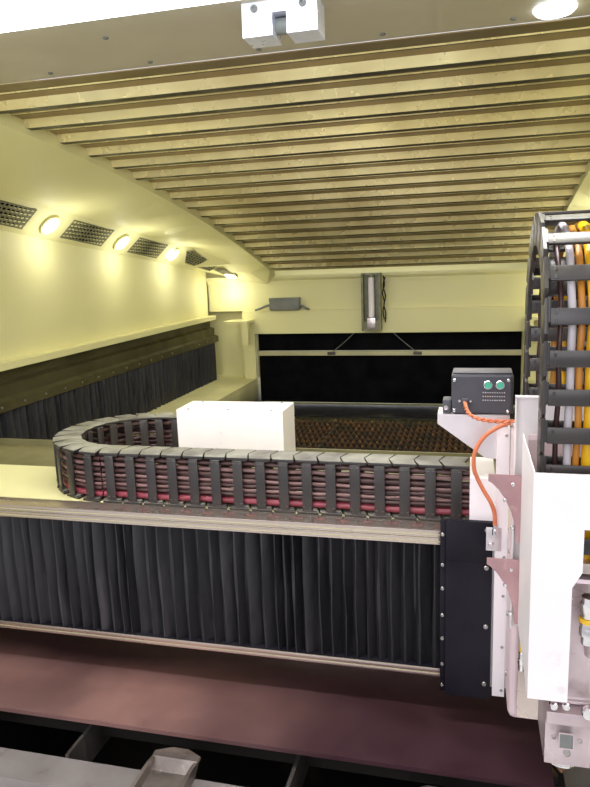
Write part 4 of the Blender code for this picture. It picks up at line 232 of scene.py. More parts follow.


# Per finish: two tones and the patches' scale, marks (tone, scale, from, to), dust and painted highlight
# (tone, most),
# grain and swell (depth in metres, scale)
finishSettings = {
    "cream_paint": {
        "tones": ((0.78, 0.74, 0.39), (0.755, 0.71, 0.37)), "patches": 1.2,
        "marks": ((0.72, 0.67, 0.345), 7, 0.72, 1.0), "roughness": (0.42, 0.54), "coat": 0.04,
        "grain": (0.00006, 500), "swell": (0.0004, 2.5),
    },
    "white_paint": {
        "tones": ((0.93, 0.865, 0.885), (0.87, 0.81, 0.83)), "patches": 6,
        "marks": ((0.55, 0.47, 0.46), 24, 0.68, 0.95), "roughness": (0.3, 0.45), "grain": (0.00008, 900),
        "swell": (0.0003, 8),
    },
    "black_paint": {
        "tones": ((0.01, 0.009, 0.014), (0.02, 0.017, 0.024)), "patches": 9,
        "marks": ((0.05, 0.04, 0.05), 60, 0.7, 0.9), "roughness": (0.45, 0.6), "specular": 0.12,
        "grain": (0.0001, 1200), "swell": (0.0002, 5),
    },
    "dark_steel": {
        "tones": ((0.17, 0.15, 0.14), (0.1, 0.085, 0.075)), "patches": 7,
        "marks": ((0.28, 0.19, 0.13), 26, 0.62, 0.85), "roughness": (0.35, 0.6), "metallic": 0.7,
        "grain": (0.0002, 240), "swell": (0.0004, 5),
    },
    "galvanised_sheet": {
        "tones": ((0.4, 0.29, 0.14), (0.26, 0.19, 0.085)), "patches": 1.1, "stretch": (1, 0.2, 1),
        "marks": ((0.44, 0.35, 0.16), 3, 0.6, 0.95), "roughness": (0.34, 0.48), "metallic": 0.5,
        "grain": (0.0001, 160), "swell": (0.0012, 3),
    },
    "bare_steel": {
        "tones": ((0.62, 0.52, 0.48), (0.44, 0.37, 0.34)), "patches": 5, "stretch": (0.3, 1, 1),
        "marks": ((0.28, 0.22, 0.18), 30, 0.62, 0.8), "roughness": (0.24, 0.42), "metallic": 0.9,
        "grain": (0.00008, 300), "grainStretch": (0.1, 1, 1),
    },
    "stainless": {
        "tones": ((0.82, 0.76, 0.78), (0.66, 0.6, 0.62)), "patches": 8, "roughness": (0.26, 0.4),
        "metallic": 0.75, "grain": (0.00005, 500), "grainStretch": (1, 1, 0.08),
    },
    "rusty_steel": {
        "tones": ((0.07, 0.055, 0.026), (0.17, 0.08, 0.026)), "patches": 7,
        "marks": ((0.55, 0.25, 0.05), 40, 0.54, 0.74), "roughness": (0.55, 0.85), "metallic": 0.25,
        "grain": (0.0006, 220), "swell": (0.0006, 30),
    },
    "plate_steel": {
        "tones": ((0.62, 0.345, 0.3), (0.46, 0.255, 0.23)), "patches": 3, "roughness": (0.35, 0.55),
        "metallic": 0.6, "grain": (0.0002, 260),
    },
    # the chain's lighter up-facing tone is a painted highlight on the lit tops of its plates
    "chain_plastic": {
        "tones": ((0.036, 0.029, 0.028), (0.024, 0.02, 0.02)), "patches": 14,
        "dustAndSheen": ((0.36, 0.35, 0.29), 0.8), "roughness": (0.3, 0.5), "coat": 0.1, "grain": (0.00012, 700),
        "swell": (0.0002, 5),
    },
    "black_cloth": {
        "tones": ((0.008, 0.008, 0.011), (0.018, 0.017, 0.021)), "patches": 8, "stretch": (1, 1, 0.25),
        "marks": ((0.055, 0.05, 0.058), 30, 0.55, 0.85), "markStretch": (1, 1, 0.15),
        "roughness": (0.38, 0.6), "grain": (0.0003, 900), "swell": (0.0009, 30),
    },
    "head_metal": {
        "tones": ((0.66, 0.55, 0.57), (0.5, 0.4, 0.42)), "patches": 12,
        "marks": ((0.3, 0.22, 0.22), 60, 0.66, 0.85), "roughness": (0.26, 0.42), "metallic": 0.55,
        "grain": (0.00008, 800),
    },
    "chrome": {
        "tones": ((0.78, 0.75, 0.76), (0.66, 0.62, 0.63)), "patches": 20, "roughness": (0.08, 0.2),
        "metallic": 1.0, "grain": (0.00002, 900),
    },
    "copper": {
        "tones": ((0.72, 0.38, 0.22), (0.5, 0.25, 0.14)), "patches": 30, "roughness": (0.2, 0.4),
        "metallic": 1.0, "grain": (0.00005, 900),
    },
    "grey_plastic": {
        "tones": ((0.2, 0.21, 0.2), (0.15, 0.155, 0.15)), "patches": 12, "roughness": (0.4, 0.55),
        "grain": (0.0001, 900),
    },
    "box_plastic": {
        "tones": ((0.06, 0.058, 0.072), (0.045, 0.044, 0.056)), "patches": 14,
        "dustAndSheen": ((0.22, 0.21, 0.22), 0.5), "roughness": (0.35, 0.5), "grain": (0.0001, 1300),
    },
    "green_plastic": {
        "tones": ((0.05, 0.4, 0.25), (0.08, 0.46, 0.32)), "patches": 60, "roughness": (0.15, 0.3),
        "coat": 0.5, "grain": (0.00003, 400),
    },
    "orange_sleeve": {
        "tones": ((0.72, 0.22, 0.1), (0.6, 0.17, 0.08)), "patches": 40, "roughness": (0.35, 0.5),
        "grain": (0.0001, 900),
    },
    "yellow_sleeve": {
        "tones": ((0.9, 0.55, 0.02), (0.8, 0.46, 0.02)), "patches": 40, "roughness": (0.3, 0.45),
        "grain": (0.0001, 900),
    },
    "ground_steel": {
        "tones": ((0.62, 0.52, 0.46), (0.5, 0.42, 0.36)), "patches": 4, "stretch": (0.2, 1, 1),
        "roughness": (0.2, 0.34), "metallic": 0.85, "grain": (0.00006, 300), "grainStretch": (0.05, 1, 1),
    },
    "olive_sheet": {
        "tones": ((0.095, 0.085, 0.036), (0.062, 0.055, 0.022)), "patches": 4,
        "marks": ((0.045, 0.038, 0.015), 18, 0.6, 0.85), "roughness": (0.3, 0.5), "metallic": 0.3,
        "grain": (0.0001, 300),
    },
    # lit and shaded copies of the roof sheet's finish: painted shade, milder painted shade and painted
    # highlight on the ribs
    "rib_painted_shade": {
        "tones": ((0.04, 0.03, 0.01), (0.024, 0.018, 0.007)), "patches": 2, "stretch": (1, 0.2, 1),
        "roughness": (0.3, 0.5), "metallic": 0.5, "grain": (0.0001, 160),
    },
    "rib_painted_dim_shade": {
        "tones": ((0.24, 0.175, 0.078), (0.15, 0.11, 0.046)), "patches": 1.1, "stretch": (1, 0.2, 1),
        "roughness": (0.34, 0.48), "metallic": 0.5, "grain": (0.0001, 160),
    },
    "rib_painted_highlight": {
        "tones": ((1.0, 0.9, 0.52), (0.6, 0.5, 0.24)), "patches": 2.2, "stretch": (1, 0.2, 1),
        "roughness": (0.2, 0.35), "metallic": 0.3, "grain": (0.0001, 160),
    },
    "screen_metal": {
        "tones": ((0.24, 0.235, 0.15), (0.17, 0.165, 0.1)), "patches": 30, "roughness": (0.4, 0.6),
        "metallic": 0.3, "grain": (0.0001, 500),
    },
    "deep_black": {
        "tones": ((0.002, 0.002, 0.003), (0.005, 0.005, 0.006)), "patches": 12, "roughness": (0.7, 0.9),
        "specular": 0.06, "grain": (0.0002, 500),
    },
    "bright_alloy": {
        "tones": ((0.8, 0.81, 0.92), (0.68, 0.69, 0.8)), "patches": 18, "roughness": (0.25, 0.4),
        "metallic": 0.4, "grain": (0.00008, 700),
    },
    "hook_steel": {
        "tones": ((0.34, 0.29, 0.26), (0.2, 0.165, 0.15)), "patches": 16,
        "marks": ((0.5, 0.44, 0.4), 50, 0.62, 0.85), "roughness": (0.3, 0.5), "metallic": 0.75,
        "grain": (0.0003, 300),
    },
    "bar_steel": {
        "tones": ((0.62, 0.58, 0.34), (0.5, 0.47, 0.27)), "patches": 5, "roughness": (0.3, 0.5),
        "metallic": 0.4, "grain": (0.0001, 300),
    },
    "fin_steel": {
        "tones": ((0.56, 0.34, 0.35), (0.44, 0.26, 0.27)), "patches": 14,
        "marks": ((0.7, 0.52, 0.52), 40, 0.64, 0.9), "roughness": (0.28, 0.42), "metallic": 0.6,
        "grain": (0.00006, 600),
    },
    # pinker and darker than the white paint: a painted pink reflection and painted shade on the Z column
    "column_painted_shade_and_reflection": {
        "tones": ((0.78, 0.62, 0.65), (0.7, 0.55, 0.58)), "patches": 6,
        "marks": ((0.5, 0.38, 0.38), 26, 0.7, 0.95), "roughness": (0.3, 0.45), "grain": (0.00008, 900),
    },
    "frame_steel": {
        "tones": ((0.35, 0.315, 0.31), (0.25, 0.22, 0.215)), "patches": 6,
        "marks": ((0.22, 0.17, 0.15), 24, 0.62, 0.85), "roughness": (0.32, 0.5), "metallic": 0.4,
        "grain": (0.0003, 240),
    },
    "tray_paint": {
        "tones": ((0.2, 0.18, 0.085), (0.15, 0.135, 0.06)), "patches": 5, "roughness": (0.35, 0.5),
        "metallic": 0.1, "grain": (0.0001, 300),
    },
    "screw_steel": {
        "tones": ((0.5, 0.46, 0.45), (0.36, 0.33, 0.32)), "patches": 60, "roughness": (0.25, 0.4),
        "metallic": 0.9, "grain": (0.00004, 900),
    },
}
creamPaint = finishSettings["cream_paint"]
finishSettings["sooty_and_painted_shade_paint"] = dict(creamPaint)
# the header's cream paint in darker tones: painted shade on its down-facing face
finishSettings["header_painted_shade_paint"] = dict(creamPaint, tones=((0.44, 0.39, 0.30), (0.40, 0.36, 0.26)),
                                      marks=((0.37, 0.32, 0.22), *creamPaint["marks"][1:]))

# Sleeves and hoses: two tones and the roughness
hoseFinishes = {
    "brown_sleeve": (((0.105, 0.050, 0.046), (0.060, 0.028, 0.026)), (0.3, 0.5)),
    "pale_sleeve": (((0.30, 0.17, 0.16), (0.20, 0.11, 0.10)), (0.3, 0.5)),
    "red_hose": (((0.33, 0.060, 0.085), (0.26, 0.045, 0.060)), (0.3, 0.45)),
    "white_hose": (((0.62, 0.57, 0.60), (0.52, 0.47, 0.50)), (0.3, 0.45)),
    "amber_hose": (((0.62, 0.26, 0.035), (0.50, 0.20, 0.03)), (0.3, 0.45)),
    "sun_hose": (((0.93, 0.52, 0.015), (0.85, 0.44, 0.01)), (0.22, 0.35)),
}
for name, (tones, roughness) in hoseFinishes.items():
    finishSettings[name] = {"tones": tones, "patches": 25, "roughness": roughness, "grain": (0.0001, 700)}

lampSettings = {
    "tones": ((0.92, 0.95, 1.0), (0.86, 0.92, 1.0)), "patches": (20, evenly, 1, 0.3, 0.7),
    "glow": (0.88, 0.94, 1.0), "strength": 8.0, "roughness": 0.25,
}


def lampFinish(name, settings):
    material, tree, shader = newMaterial(name)
    colour = mixColours(tree, noiseShare(tree, *settings["patches"]), *settings["tones"])
    feed(tree, colour, shader.inputs["Base Color"])
    feed(tree, settings["glow"], shader.inputs["Emission Color"])
    feed(tree, settings["strength"], shader.inputs["Emission Strength"])
    feed(tree, settings["roughness"], shader.inputs["Roughness"])
    return material


finishes = {name: wornFinish(name, settings) for name, settings in finishSettings.items()}
finishes["lamp_cover"] = lampFinish("lamp_cover", lampSettings)


# A painted shade: a dark tone that comes in along a node's axis, with a ragged border and clear edges
def shadeAlong(finish, nodeName, axis, dark, clear, tone, ragged=0.0, scale=3, edges=()):
    tree = finishes[finish].node_tree
    baseColour = tree.nodes["Principled BSDF"].inputs["Base Color"]
    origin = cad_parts[nodeName].matrix_world.translation if nodeName else (0, 0, 0)
    share = axisShare(tree, axis, dark - origin[axis], clear - origin[axis])
    if ragged:
        wave = rangeShare(tree, noiseShare(tree, scale, evenly, 4, 0.3, 0.7), 0, 1, -ragged, ragged * 0.1)
        share = joined(tree, "ADD", share, wave)
    for edgeAxis, edge, clean in edges:
        kept = axisShare(tree, edgeAxis, edge - origin[edgeAxis], clean - origin[edgeAxis])
        share = joined(tree, "ADD", share, kept)
    feed(tree, mixColours(tree, share, tone, baseColour.links[0].from_socket), baseColour)


# Finish, node, axis, where the painted shade is full and where it ends, its tone, how ragged and at what
# scale, and the edges that stay clear, as (axis, where it begins, where it is clear)
shades = (
    # darker towards the bottom inside the beds, below the pallet: painted shade, and soot
    ("sooty_and_painted_shade_paint", "machine_base", 2, 0.86, 1.04, (0.012, 0.010, 0.011), 0.2, 4,
     ((1, -1.985, -2.005), (1, 1.985, 2.005), (0, 1.4, 1.5), (0, -1.4, -1.5))),
    # the slats darker towards their bottom, below the sheet: painted shade
    ("rusty_steel", None, 2, 0.855, 0.876, (0.012, 0.009, 0.008)),
    # the sheet darker further back under the gantry and towards the right: painted shade
    ("plate_steel", "metal_sheet", 1, -1.38, -1.54, (0.060, 0.026, 0.036), 0.4, 2.4),
    ("plate_steel", "metal_sheet", 0, 0.42, -0.30, (0.085, 0.036, 0.048), 0.3, 2.0),
)
bpy.context.view_layer.update()
for numbers in shades:
    shadeAlong(*numbers)


def both(*names):
    return [side + name for name in names for side in ("left_", "right_")]


nodeSlots = {
    "cream_paint": ["machine_base", "front_header", "rear_portal", "rear_wall", "rear_skin", "gantry_beam",
                    *both("side_panel", "duct", "wall_panel")],
    "galvanised_sheet": ["roof_sheet", "middle_hook", *both("hook")],
    "dark_steel": ["chain_tray", "pallet_frame", *both("rail_cover")],
    "grey_plastic": ["junction_box", "door_rope_block"],
    "lamp_cover": ["light_bar"],
    "stainless": ["box_bracket", "lift_cylinder"],
    "black_cloth": ["lift_rope", "curtain_cloth", "curtain_upper_cloth",
                    *both("front_rail_bellows", "rear_rail_bellows", "x_bellows")],
    "bare_steel": ["curtain_bar", "slide_plate"],
    "rusty_steel": ["slats"],
    "plate_steel": ["metal_sheet"],
    "white_paint": ["chain_end_cover", "white_strip", "z_column", "chain_channel", "head_cover", "saddle"],
    "black_paint": ["black_cover"],
    "box_plastic": ["control_box"],
    "chain_plastic": ["x_chain_front", "x_chain_loop", "x_chain_rear", "z_chain"],
    "head_metal": ["upper_fin", "lower_fin", "head_body", "sensor_block"],
    "green_plastic": both("button"),
    "orange_sleeve": ["box_cable"],
    "chrome": ["nozzle_ring"],
    "copper": ["nozzle"],
    "yellow_sleeve": ["fibre_tube"],
}

# Nodes whose finish differs from the one of their slot
ownFinishes = {
    "machine_base": "sooty_and_painted_shade_paint", "pallet_frame": "frame_steel", "chain_tray": "tray_paint",
    "front_header": "header_painted_shade_paint", "left_rail_cover": "olive_sheet", "right_rail_cover": "olive_sheet",
    "door_rope_block": "bright_alloy", "lift_cylinder": "screen_metal", "curtain_bar": "bar_steel",
    "left_hook": "hook_steel", "middle_hook": "hook_steel", "right_hook": "hook_steel",
    "upper_fin": "fin_steel", "lower_fin": "fin_steel", "z_column": "column_painted_shade_and_reflection",
    "curtain_cloth": "deep_black", "curtain_upper_cloth": "deep_black",
}

for slot, names in nodeSlots.items():
    for name in names:
        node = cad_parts[name]
        node.data.materials.clear()
        node.data.materials.append(finishes[ownFinishes.get(name, slot)])
report("finishes made")


# Shapes: small makers that the pieces below share

def pieceFrom(bm, name, slot, body=None, finish=None, smoothAngle=35):
    mesh = bpy.data.meshes.new(name)
    bmesh.ops.recalc_face_normals(bm, faces=bm.faces)
    bm.to_mesh(mesh)
    bm.free()
    mesh.materials.append(finish or finishes[slot])
    mesh.shade_smooth()
    mesh.set_sharp_from_angle(angle=math.radians(smoothAngle))
    piece = bpy.data.objects.new(name, mesh)
    bpy.context.scene.collection.objects.link(piece)
    if body:
        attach(piece, body)
    return piece


def addShape(bm, shape, matrix=Matrix.Identity(4)):
    shape.transform(matrix)
    kept = bpy.data.meshes.new("kept")
    shape.to_mesh(kept)
    shape.free()
    bm.from_mesh(kept)
    bpy.data.meshes.remove(kept)


def roundedBlock(size, edge=0.001, segments=2):
    shape = bmesh.new()
    bmesh.ops.create_cube(shape, size=1)
    bmesh.ops.scale(shape, vec=size, verts=shape.verts)
    if edge:
        bmesh.ops.bevel(shape, geom=shape.edges[:], offset=edge, segments=segments, profile=0.5,
                        affect="EDGES")
    return shape


def addBlock(bm, low, high, edge=0.001, segments=2):
    low, high = Vector(low), Vector(high)
    addShape(bm, roundedBlock(high - low, edge, segments), Matrix.Translation((low + high) / 2))


def addPlate(bm, points, depth, matrix=Matrix.Identity(4), edge=0.0):
    shape = bmesh.new()
    corners = [shape.verts.new((x, y, -depth / 2)) for x, y in points]
    face = shape.faces.new(corners)
    grown = bmesh.ops.extrude_face_region(shape, geom=[face])
    lifted = [part for part in grown["geom"] if isinstance(part, bmesh.types.BMVert)]
    bmesh.ops.translate(shape, vec=(0, 0, depth), verts=lifted)
    bmesh.ops.recalc_face_normals(shape, faces=shape.faces)
    if edge:
        rims = [line for line in shape.edges if abs(line.verts[0].co.z - line.verts[1].co.z) < depth / 2]
        bmesh.ops.bevel(shape, geom=rims, offset=edge, segments=2, profile=0.5, affect="EDGES")
    addShape(bm, shape, matrix)


# A profile of (radius, height) turned round +Z
def turnedShape(profile, sides):
    shape = bmesh.new()
    rings = []
    for radius, height in profile:
        if radius < 1e-6:
            rings.append([shape.verts.new((0, 0, height))])
            continue
        angles = [math.tau * index / sides for index in range(sides)]
        rings.append([shape.verts.new((radius * math.cos(a), radius * math.sin(a), height)) for a in angles])
    for below, above in zip(rings, rings[1:]):
        for index in range(sides):
            after = (index + 1) % sides
            corners = [below[index % len(below)], below[after % len(below)],
                       above[after % len(above)], above[index % len(above)]]
            corners = list(dict.fromkeys(corners))
            if len(corners) > 2:
                shape.faces.new(corners)
    return shape


def aimed(place, direction, spin=0.0):
    turn = Vector(direction).to_track_quat("Z", "Y").to_matrix().to_4x4()
    return Matrix.Translation(place) @ turn @ Matrix.Rotation(spin, 4, "Z")


def addTurned(bm, profile, sides, place, direction=None, spin=0.0):
    matrix = aimed(place, direction, spin) if direction else Matrix.Translation(place)
    addShape(bm, turnedShape(profile, sides), matrix)


# A socket screw: head and countersunk socket, with its seat at height 0
def addScrew(bm, place, direction, radius, height, spin=0.3):
    rim, hole = radius * 0.85, radius * 0.55
    head = [(0, -height / 2), (radius, -height / 2), (radius, height * 0.75), (rim, height), (hole, height)]
    socket = [(hole, height), (radius * 0.5, height * 0.4), (0, height * 0.35)]
    addTurned(bm, head, 20, place, direction)
    addTurned(bm, socket, 6, place, direction, spin)


# The same screw at places on a face: the face's own coordinate is left out of each place
def addScrews(bm, places, face, radius, height, direction=frontward):
    axis = [abs(part) for part in direction].index(1)
    for place in places:
        addScrew(bm, (*place[:axis], face, *place[axis:]), direction, radius, height)


# A hexagon bolt on a washer
def addBolt(bm, place, direction, radius, height, spin=0.2, washer=1.35):
    rim, thick = radius * washer, radius * 0.2
    ring = [(0, 0), (rim, 0), (rim, thick * 0.8), (rim * 0.96, thick), (0, thick)]
    head = [(radius, thick), (radius, height * 0.85), (radius * 0.86, height), (0, height * 1.03)]
    addTurned(bm, ring, 24, place, direction)
    addTurned(bm, head, 6, place, direction, spin)


# Faces between two rows of points, closed into a ring or open
def joinRows(bm, below, above, closed=False):
    for index in range(len(below) - (0 if closed else 1)):
        after = (index + 1) % len(below)
        bm.faces.new((below[index], below[after], above[after], above[index]))


# A round tube along points, its frame carried from point to point
def addTube(bm, points, radius, sides=10):
    points = [Vector(point) for point in points]
    aims = [(after - before).normalized() for before, after in
            zip([points[0]] + points[:-1], points[1:] + [points[-1]])]
    across = aims[0].orthogonal().normalized()
    rings = []
    for index, (point, aim) in enumerate(zip(points, aims)):
        if index:
            across = (across - aim * across.dot(aim)).normalized()
        over = aim.cross(across)
        angles = [math.tau * side / sides for side in range(sides)]
        rims = [across * math.cos(angle) + over * math.sin(angle) for angle in angles]
        rings.append([bm.verts.new(point + rim * radius) for rim in rims])
    for below, above in zip(rings, rings[1:]):
        joinRows(bm, below, above, True)
    bm.faces.new(rings[0][::-1])
    bm.faces.new(rings[-1])


def smoothRoute(points, steps=8):
    points = [Vector(point) for point in points]
    ends = [points[0] * 2 - points[1]] + points + [points[-1] * 2 - points[-2]]
    route = []
    for index in range(len(points) - 1):
        a, b, c, d = ends[index:index + 4]
        for step in range(steps):
            t = step / steps
            route.append(0.5 * ((2 * b) + (c - a) * t + (2 * a - 5 * b + 4 * c - d) * t * t
                                + (3 * b - a - 3 * c + d) * t ** 3))
    return route + [points[-1]]


# A small piece from the makers that shape it, each with its numbers
def smallPiece(name, slot, body, *shapes, finish=None):
    bm = bmesh.new()
    for maker, *numbers in shapes:
        maker(bm, *numbers)
    return pieceFrom(bm, name, slot, body, finishes.get(finish))


# Bellows: stiffened cloth in uneven pleats, closed by a flat back

bellowsSettings = {
    "pitch": 0.0290,        # mean pleat on the gantry
    "railPitch": 0.042,     # mean pleat along the rails
    "tightPitch": 0.0017,   # pleats of the pressed right cover, which opens along the whole beam
    "frontPitch": 0.012,
    "uneven": 0.35,         # share of the pitch that a pleat may differ by
    "lean": 0.26,           # where the crest stands within its pleat
    "steps": 14,            # divisions over the height
    "waver": 0.0016,
    "crest": (0.0, 0.16), "valley": (0.62, 0.78), "leanSpread": 0.07,    # shares of depth and pleat
}


# Points of the pleats along the cover, as (place, inset from the face)
def pleatLine(draw, start, length, depth, pitch):
    s = bellowsSettings
    count = max(3, round(length / pitch))
    widths = [1 + s["uneven"] * draw.uniform(-1, 1) for _ in range(count)]
    scale = length / sum(widths)
    line = []
    for width in widths:
        width *= scale
        crest = depth * draw.uniform(*s["crest"])
        valley = depth * draw.uniform(*s["valley"])
        lean = s["lean"] + draw.uniform(-s["leanSpread"], s["leanSpread"])
        pleat = ((0, valley), (lean * 0.82, crest + depth * 0.08), (lean, crest),
                 (lean + 0.1, crest + depth * 0.02), (0.62, depth * 0.36), (0.93, valley * 0.96))
        line += [(start + share * width, inset) for share, inset in pleat]
        start += width
    return line


def pleatedCover(name, nodeName, along, out, outSign, pitch, seed):
    s = bellowsSettings
    draw = random.Random(seed)
    low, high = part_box(nodeName)
    depth = high[out] - low[out]
    face = high[out] if outSign > 0 else low[out]
    line = pleatLine(draw, low[along], high[along] - low[along], depth, pitch)
    line.append((high[along], depth * 0.66))
    bm = bmesh.new()
    rows = []
    phases = [draw.uniform(0, math.tau) for _ in line]
    for step in range(s["steps"] + 1):
        share = step / s["steps"]
        bulge = math.sin(math.pi * share)
        point = [0, 0, low.z + share * (high.z - low.z)]
        row = []
        for (place, inset), phase in zip(line, phases):
            waver = s["waver"] * min(1, pitch / s["pitch"]) * bulge * math.sin(phase + share * 4.2)
            inset = min(depth, max(0, inset + waver * 0.6 + depth * 0.05 * (1 - bulge)))
            point[along] = min(high[along], max(low[along], place + waver * 1.3))
            point[out] = face - outSign * inset
            row.append(bm.verts.new(point))
        rows.append(row)
    for below, above in zip(rows, rows[1:]):
        joinRows(bm, below, above)
    backs = []
    for row in (rows[0], rows[-1]):
        ends = []
        for vert in (row[0], row[-1]):
            point = list(vert.co)
            point[out] = face - outSign * depth
            ends.append(bm.verts.new(point))
        bm.faces.new(row + ends[::-1])
        backs.append(ends)
    joinRows(bm, *backs)
    for side in (0, -1):
        bm.faces.new([row[side] for row in rows] + [backs[1][side], backs[0][side]])
    piece = pieceFrom(bm, name, "black_cloth", smoothAngle=28)
    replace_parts(piece, nodeName)
    return piece


def makeBellows():
    s = bellowsSettings
    left = pleatedCover("gantryBellowsLeft", "left_x_bellows", 0, 1, -1, s["pitch"], 3)
    right = pleatedCover("gantryBellowsRight", "right_x_bellows", 0, 1, -1, s["tightPitch"], 4)
    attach(left, "gantry")
    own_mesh(left)
    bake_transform(right)
    for side, sign in (("left", 1), ("right", -1)):
        front, rear = side + "_front_rail_bellows", side + "_rear_rail_bellows"
        cover = pleatedCover(side + "FrontRailBellows", front, 1, 0, sign, s["frontPitch"], 11)
        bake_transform(cover)
        cover = pleatedCover(side + "RearRailBellows", rear, 1, 0, sign, s["railPitch"], 12)
        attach(cover, "machine_frame")
        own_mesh(cover)


makeBellows()
report("bellows folded")


# Energy chains: plates that overlap like scales, cross bars, and what runs inside

chainSettings = {
    "pitch": 0.056, "plate": 0.009, "chevron": 0.010, "gap": 0.0016,
    "barWidth": 0.024, "barThick": 0.005, "barEdge": 0.0012, "clip": (0.006, 0.0016, 0.0035),
    "pin": [(0, 0), (0.0095, 0), (0.0095, 0.0007), (0.0076, 0.0012), (0.00475, 0.0012), (0.00399, 0.0004),
            (0, 0.0004)],
    "shoulder": (0.4, 0.78),        # share of the chevron and of the half height
    "outer": (0.62, 0.19, 0.0008),  # a plate's thickness and shift as shares of the side's, and its edge
    "inner": (0.5, -0.25, 0.0006), "innerScale": (0.62, 0.96), "innerBack": 0.25,
    "pinPlace": (0.62, 0.4), "clipPlace": (0.26, 0.86), "clipEdge": 0.0003, "barInset": 0.9,
    "divider": (0.7, 0.003, 0.16, 0.0006),      # share of the bar, thickness, share of the width, edge
    "standingHeight": 0.052,        # height of a standing link
    "standingBack": 3,              # links behind the bend
}


# One link about its own middle: x along the chain, y outwards on the bend, z across its width
def linkShape(height, width):
    s = chainSettings
    shape = bmesh.new()
    plate, barWide, barThick = s["plate"], s["barWidth"], s["barThick"]
    half, h, tip = s["pitch"] / 2, height / 2, s["chevron"]
    nose, shoulder = s["shoulder"]
    tail, neck = s["gap"] - half, half - tip * nose
    outline = [(tail, -h), (tail + tip, 0), (tail, h), (neck, h),
               (half, h * shoulder), (half + tip, 0), (half, -h * shoulder), (neck, -h)]
    alongShare, acrossShare = s["innerScale"]
    inner = [(x * alongShare, y * acrossShare) for x, y in outline]
    pinX, pinZ = s["pinPlace"]
    for side in (-1, 1):
        z = side * (width - plate) / 2
        for points, x, key in ((outline, 0, "outer"), (inner, -half * s["innerBack"], "inner")):
            thick, shift, edge = s[key]
            addPlate(shape, points, plate * thick, Matrix.Translation((x, 0, z + side * plate * shift)), edge)
        addTurned(shape, s["pin"], 14, (half * pinX, 0, z + side * plate * pinZ), (0, 0, side))
    reach = width / 2 - plate * s["barInset"]
    clip, (clipX, clipZ) = Vector(s["clip"]) / 2, s["clipPlace"]
    for side in (-1, 1):
        y = side * (h - barThick / 2)
        low, high = (-barWide / 2, y - barThick / 2, -reach), (barWide / 2, y + barThick / 2, reach)
        addBlock(shape, low, high, s["barEdge"])
        for end in (-1, 1):
            for step in (-1, 1):
                centre = Vector((step * barWide * clipX, y + side * barThick / 2, end * reach * clipZ))
                addBlock(shape, centre - clip, centre + clip, s["clipEdge"], 1)
    share, thick, place, edge = s["divider"]
    divider = roundedBlock((barWide * share, height - 2 * barThick, thick), edge, 1)
    addShape(shape, divider, Matrix.Translation((0, 0, width * place)))
    return shape


def straightFrames(start, step, outward, across, count):
    aim = Vector(step)
    turn = Matrix((aim, Vector(outward), Vector(across))).transposed().to_4x4()
    return [Matrix.Translation(Vector(start) + aim * (index + 0.5) * chainSettings["pitch"]) @ turn
            for index in range(count)]


# Links round a half circle, from one angle to another about an axis through the centre
def bendFrames(centre, first, last, radius, across, count, place):
    sense = 1 if last > first else -1
    made = []
    for index in range(count):
        angle = first + (last - first) * (index + 0.5) / count
        outward = Vector(place(math.cos(angle), math.sin(angle)))
        aim = Vector(place(-math.sin(angle), math.cos(angle))) * sense
        turn = Matrix((aim, outward, Vector(across))).transposed().to_4x4()
        made.append(Matrix.Translation(Vector(centre) + outward * radius) @ turn)
    return made


def chainPiece(name, frames, height, width, nodeName):
    link = bpy.data.meshes.new("link")
    shape = linkShape(height, width)
    shape.to_mesh(link)
    shape.free()
    bm = bmesh.new()
    for matrix in frames:
        part = bmesh.new()
        part.from_mesh(link)
        addShape(bm, part, matrix)
    bpy.data.meshes.remove(link)
    piece = pieceFrom(bm, name, "chain_plastic", smoothAngle=30)
    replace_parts(piece, nodeName)
    return piece


# Cables of the lying chain: offset outwards, height in the chain, radius, by finish
lyingCables = {
    "brown_sleeve": (
        (-0.023, -0.046, 0.006), (0.021, -0.030, 0.0045), (-0.006, -0.031, 0.0055), (0.011, -0.015, 0.0045),
        (-0.004, -0.016, 0.006), (0.021, -0.008, 0.0042), (-0.010, -0.002, 0.0065), (0.011, 0.009, 0.0045),
        (-0.006, 0.012, 0.006), (0.020, 0.017, 0.0055), (0.006, 0.027, 0.0045), (0.004, 0.039, 0.006),
        (0.021, 0.046, 0.0048)),
    "pale_sleeve": (
        (-0.006, -0.049, 0.0075), (0.009, -0.028, 0.005), (0.022, -0.019, 0.004), (0.010, -0.003, 0.005),
        (0.022, 0.004, 0.0038), (0.021, 0.031, 0.005), (-0.012, 0.044, 0.006)),
    "red_hose": ((0.018, -0.047, 0.0085),),
}

# Hoses of the standing chain: offset outwards, place across, radius, by finish
standingHoses = {
    "amber_hose": ((0.000, -0.0125, 0.0052),),
    "brown_sleeve": ((-0.004, 0.024, 0.0060), (-0.008, -0.040, 0.0040)),
    "pale_sleeve": ((-0.012, 0.014, 0.0040),),
    "sun_hose": ((0.002, 0.004, 0.0088),),
    "white_hose": ((0.004, -0.026, 0.0058), (0.003, 0.038, 0.0052)),
}


def cableRun(name, frames, cables, slot, seed, wander=0.0016):
    draw = random.Random(seed)
    lead = Vector((chainSettings["pitch"] / 2, 0, 0))
    made = []
    for finish, rows in cables.items():
        bm = bmesh.new()
        for outward, up, radius in rows:
            shifts = [Vector((0, outward + draw.uniform(-1, 1) * wander, up + draw.uniform(-1, 1) * wander))
                      for _ in frames]
            points = [frames[0] @ (shifts[0] - lead)]
            points += [matrix @ shift for matrix, shift in zip(frames, shifts)]
            points.append(frames[-1] @ (shifts[-1] + lead))
            addTube(bm, smoothRoute(points, 3), radius, 8)
        made.append(pieceFrom(bm, name + "_" + finish, slot, finish=finishes[finish], smoothAngle=60))
    return made


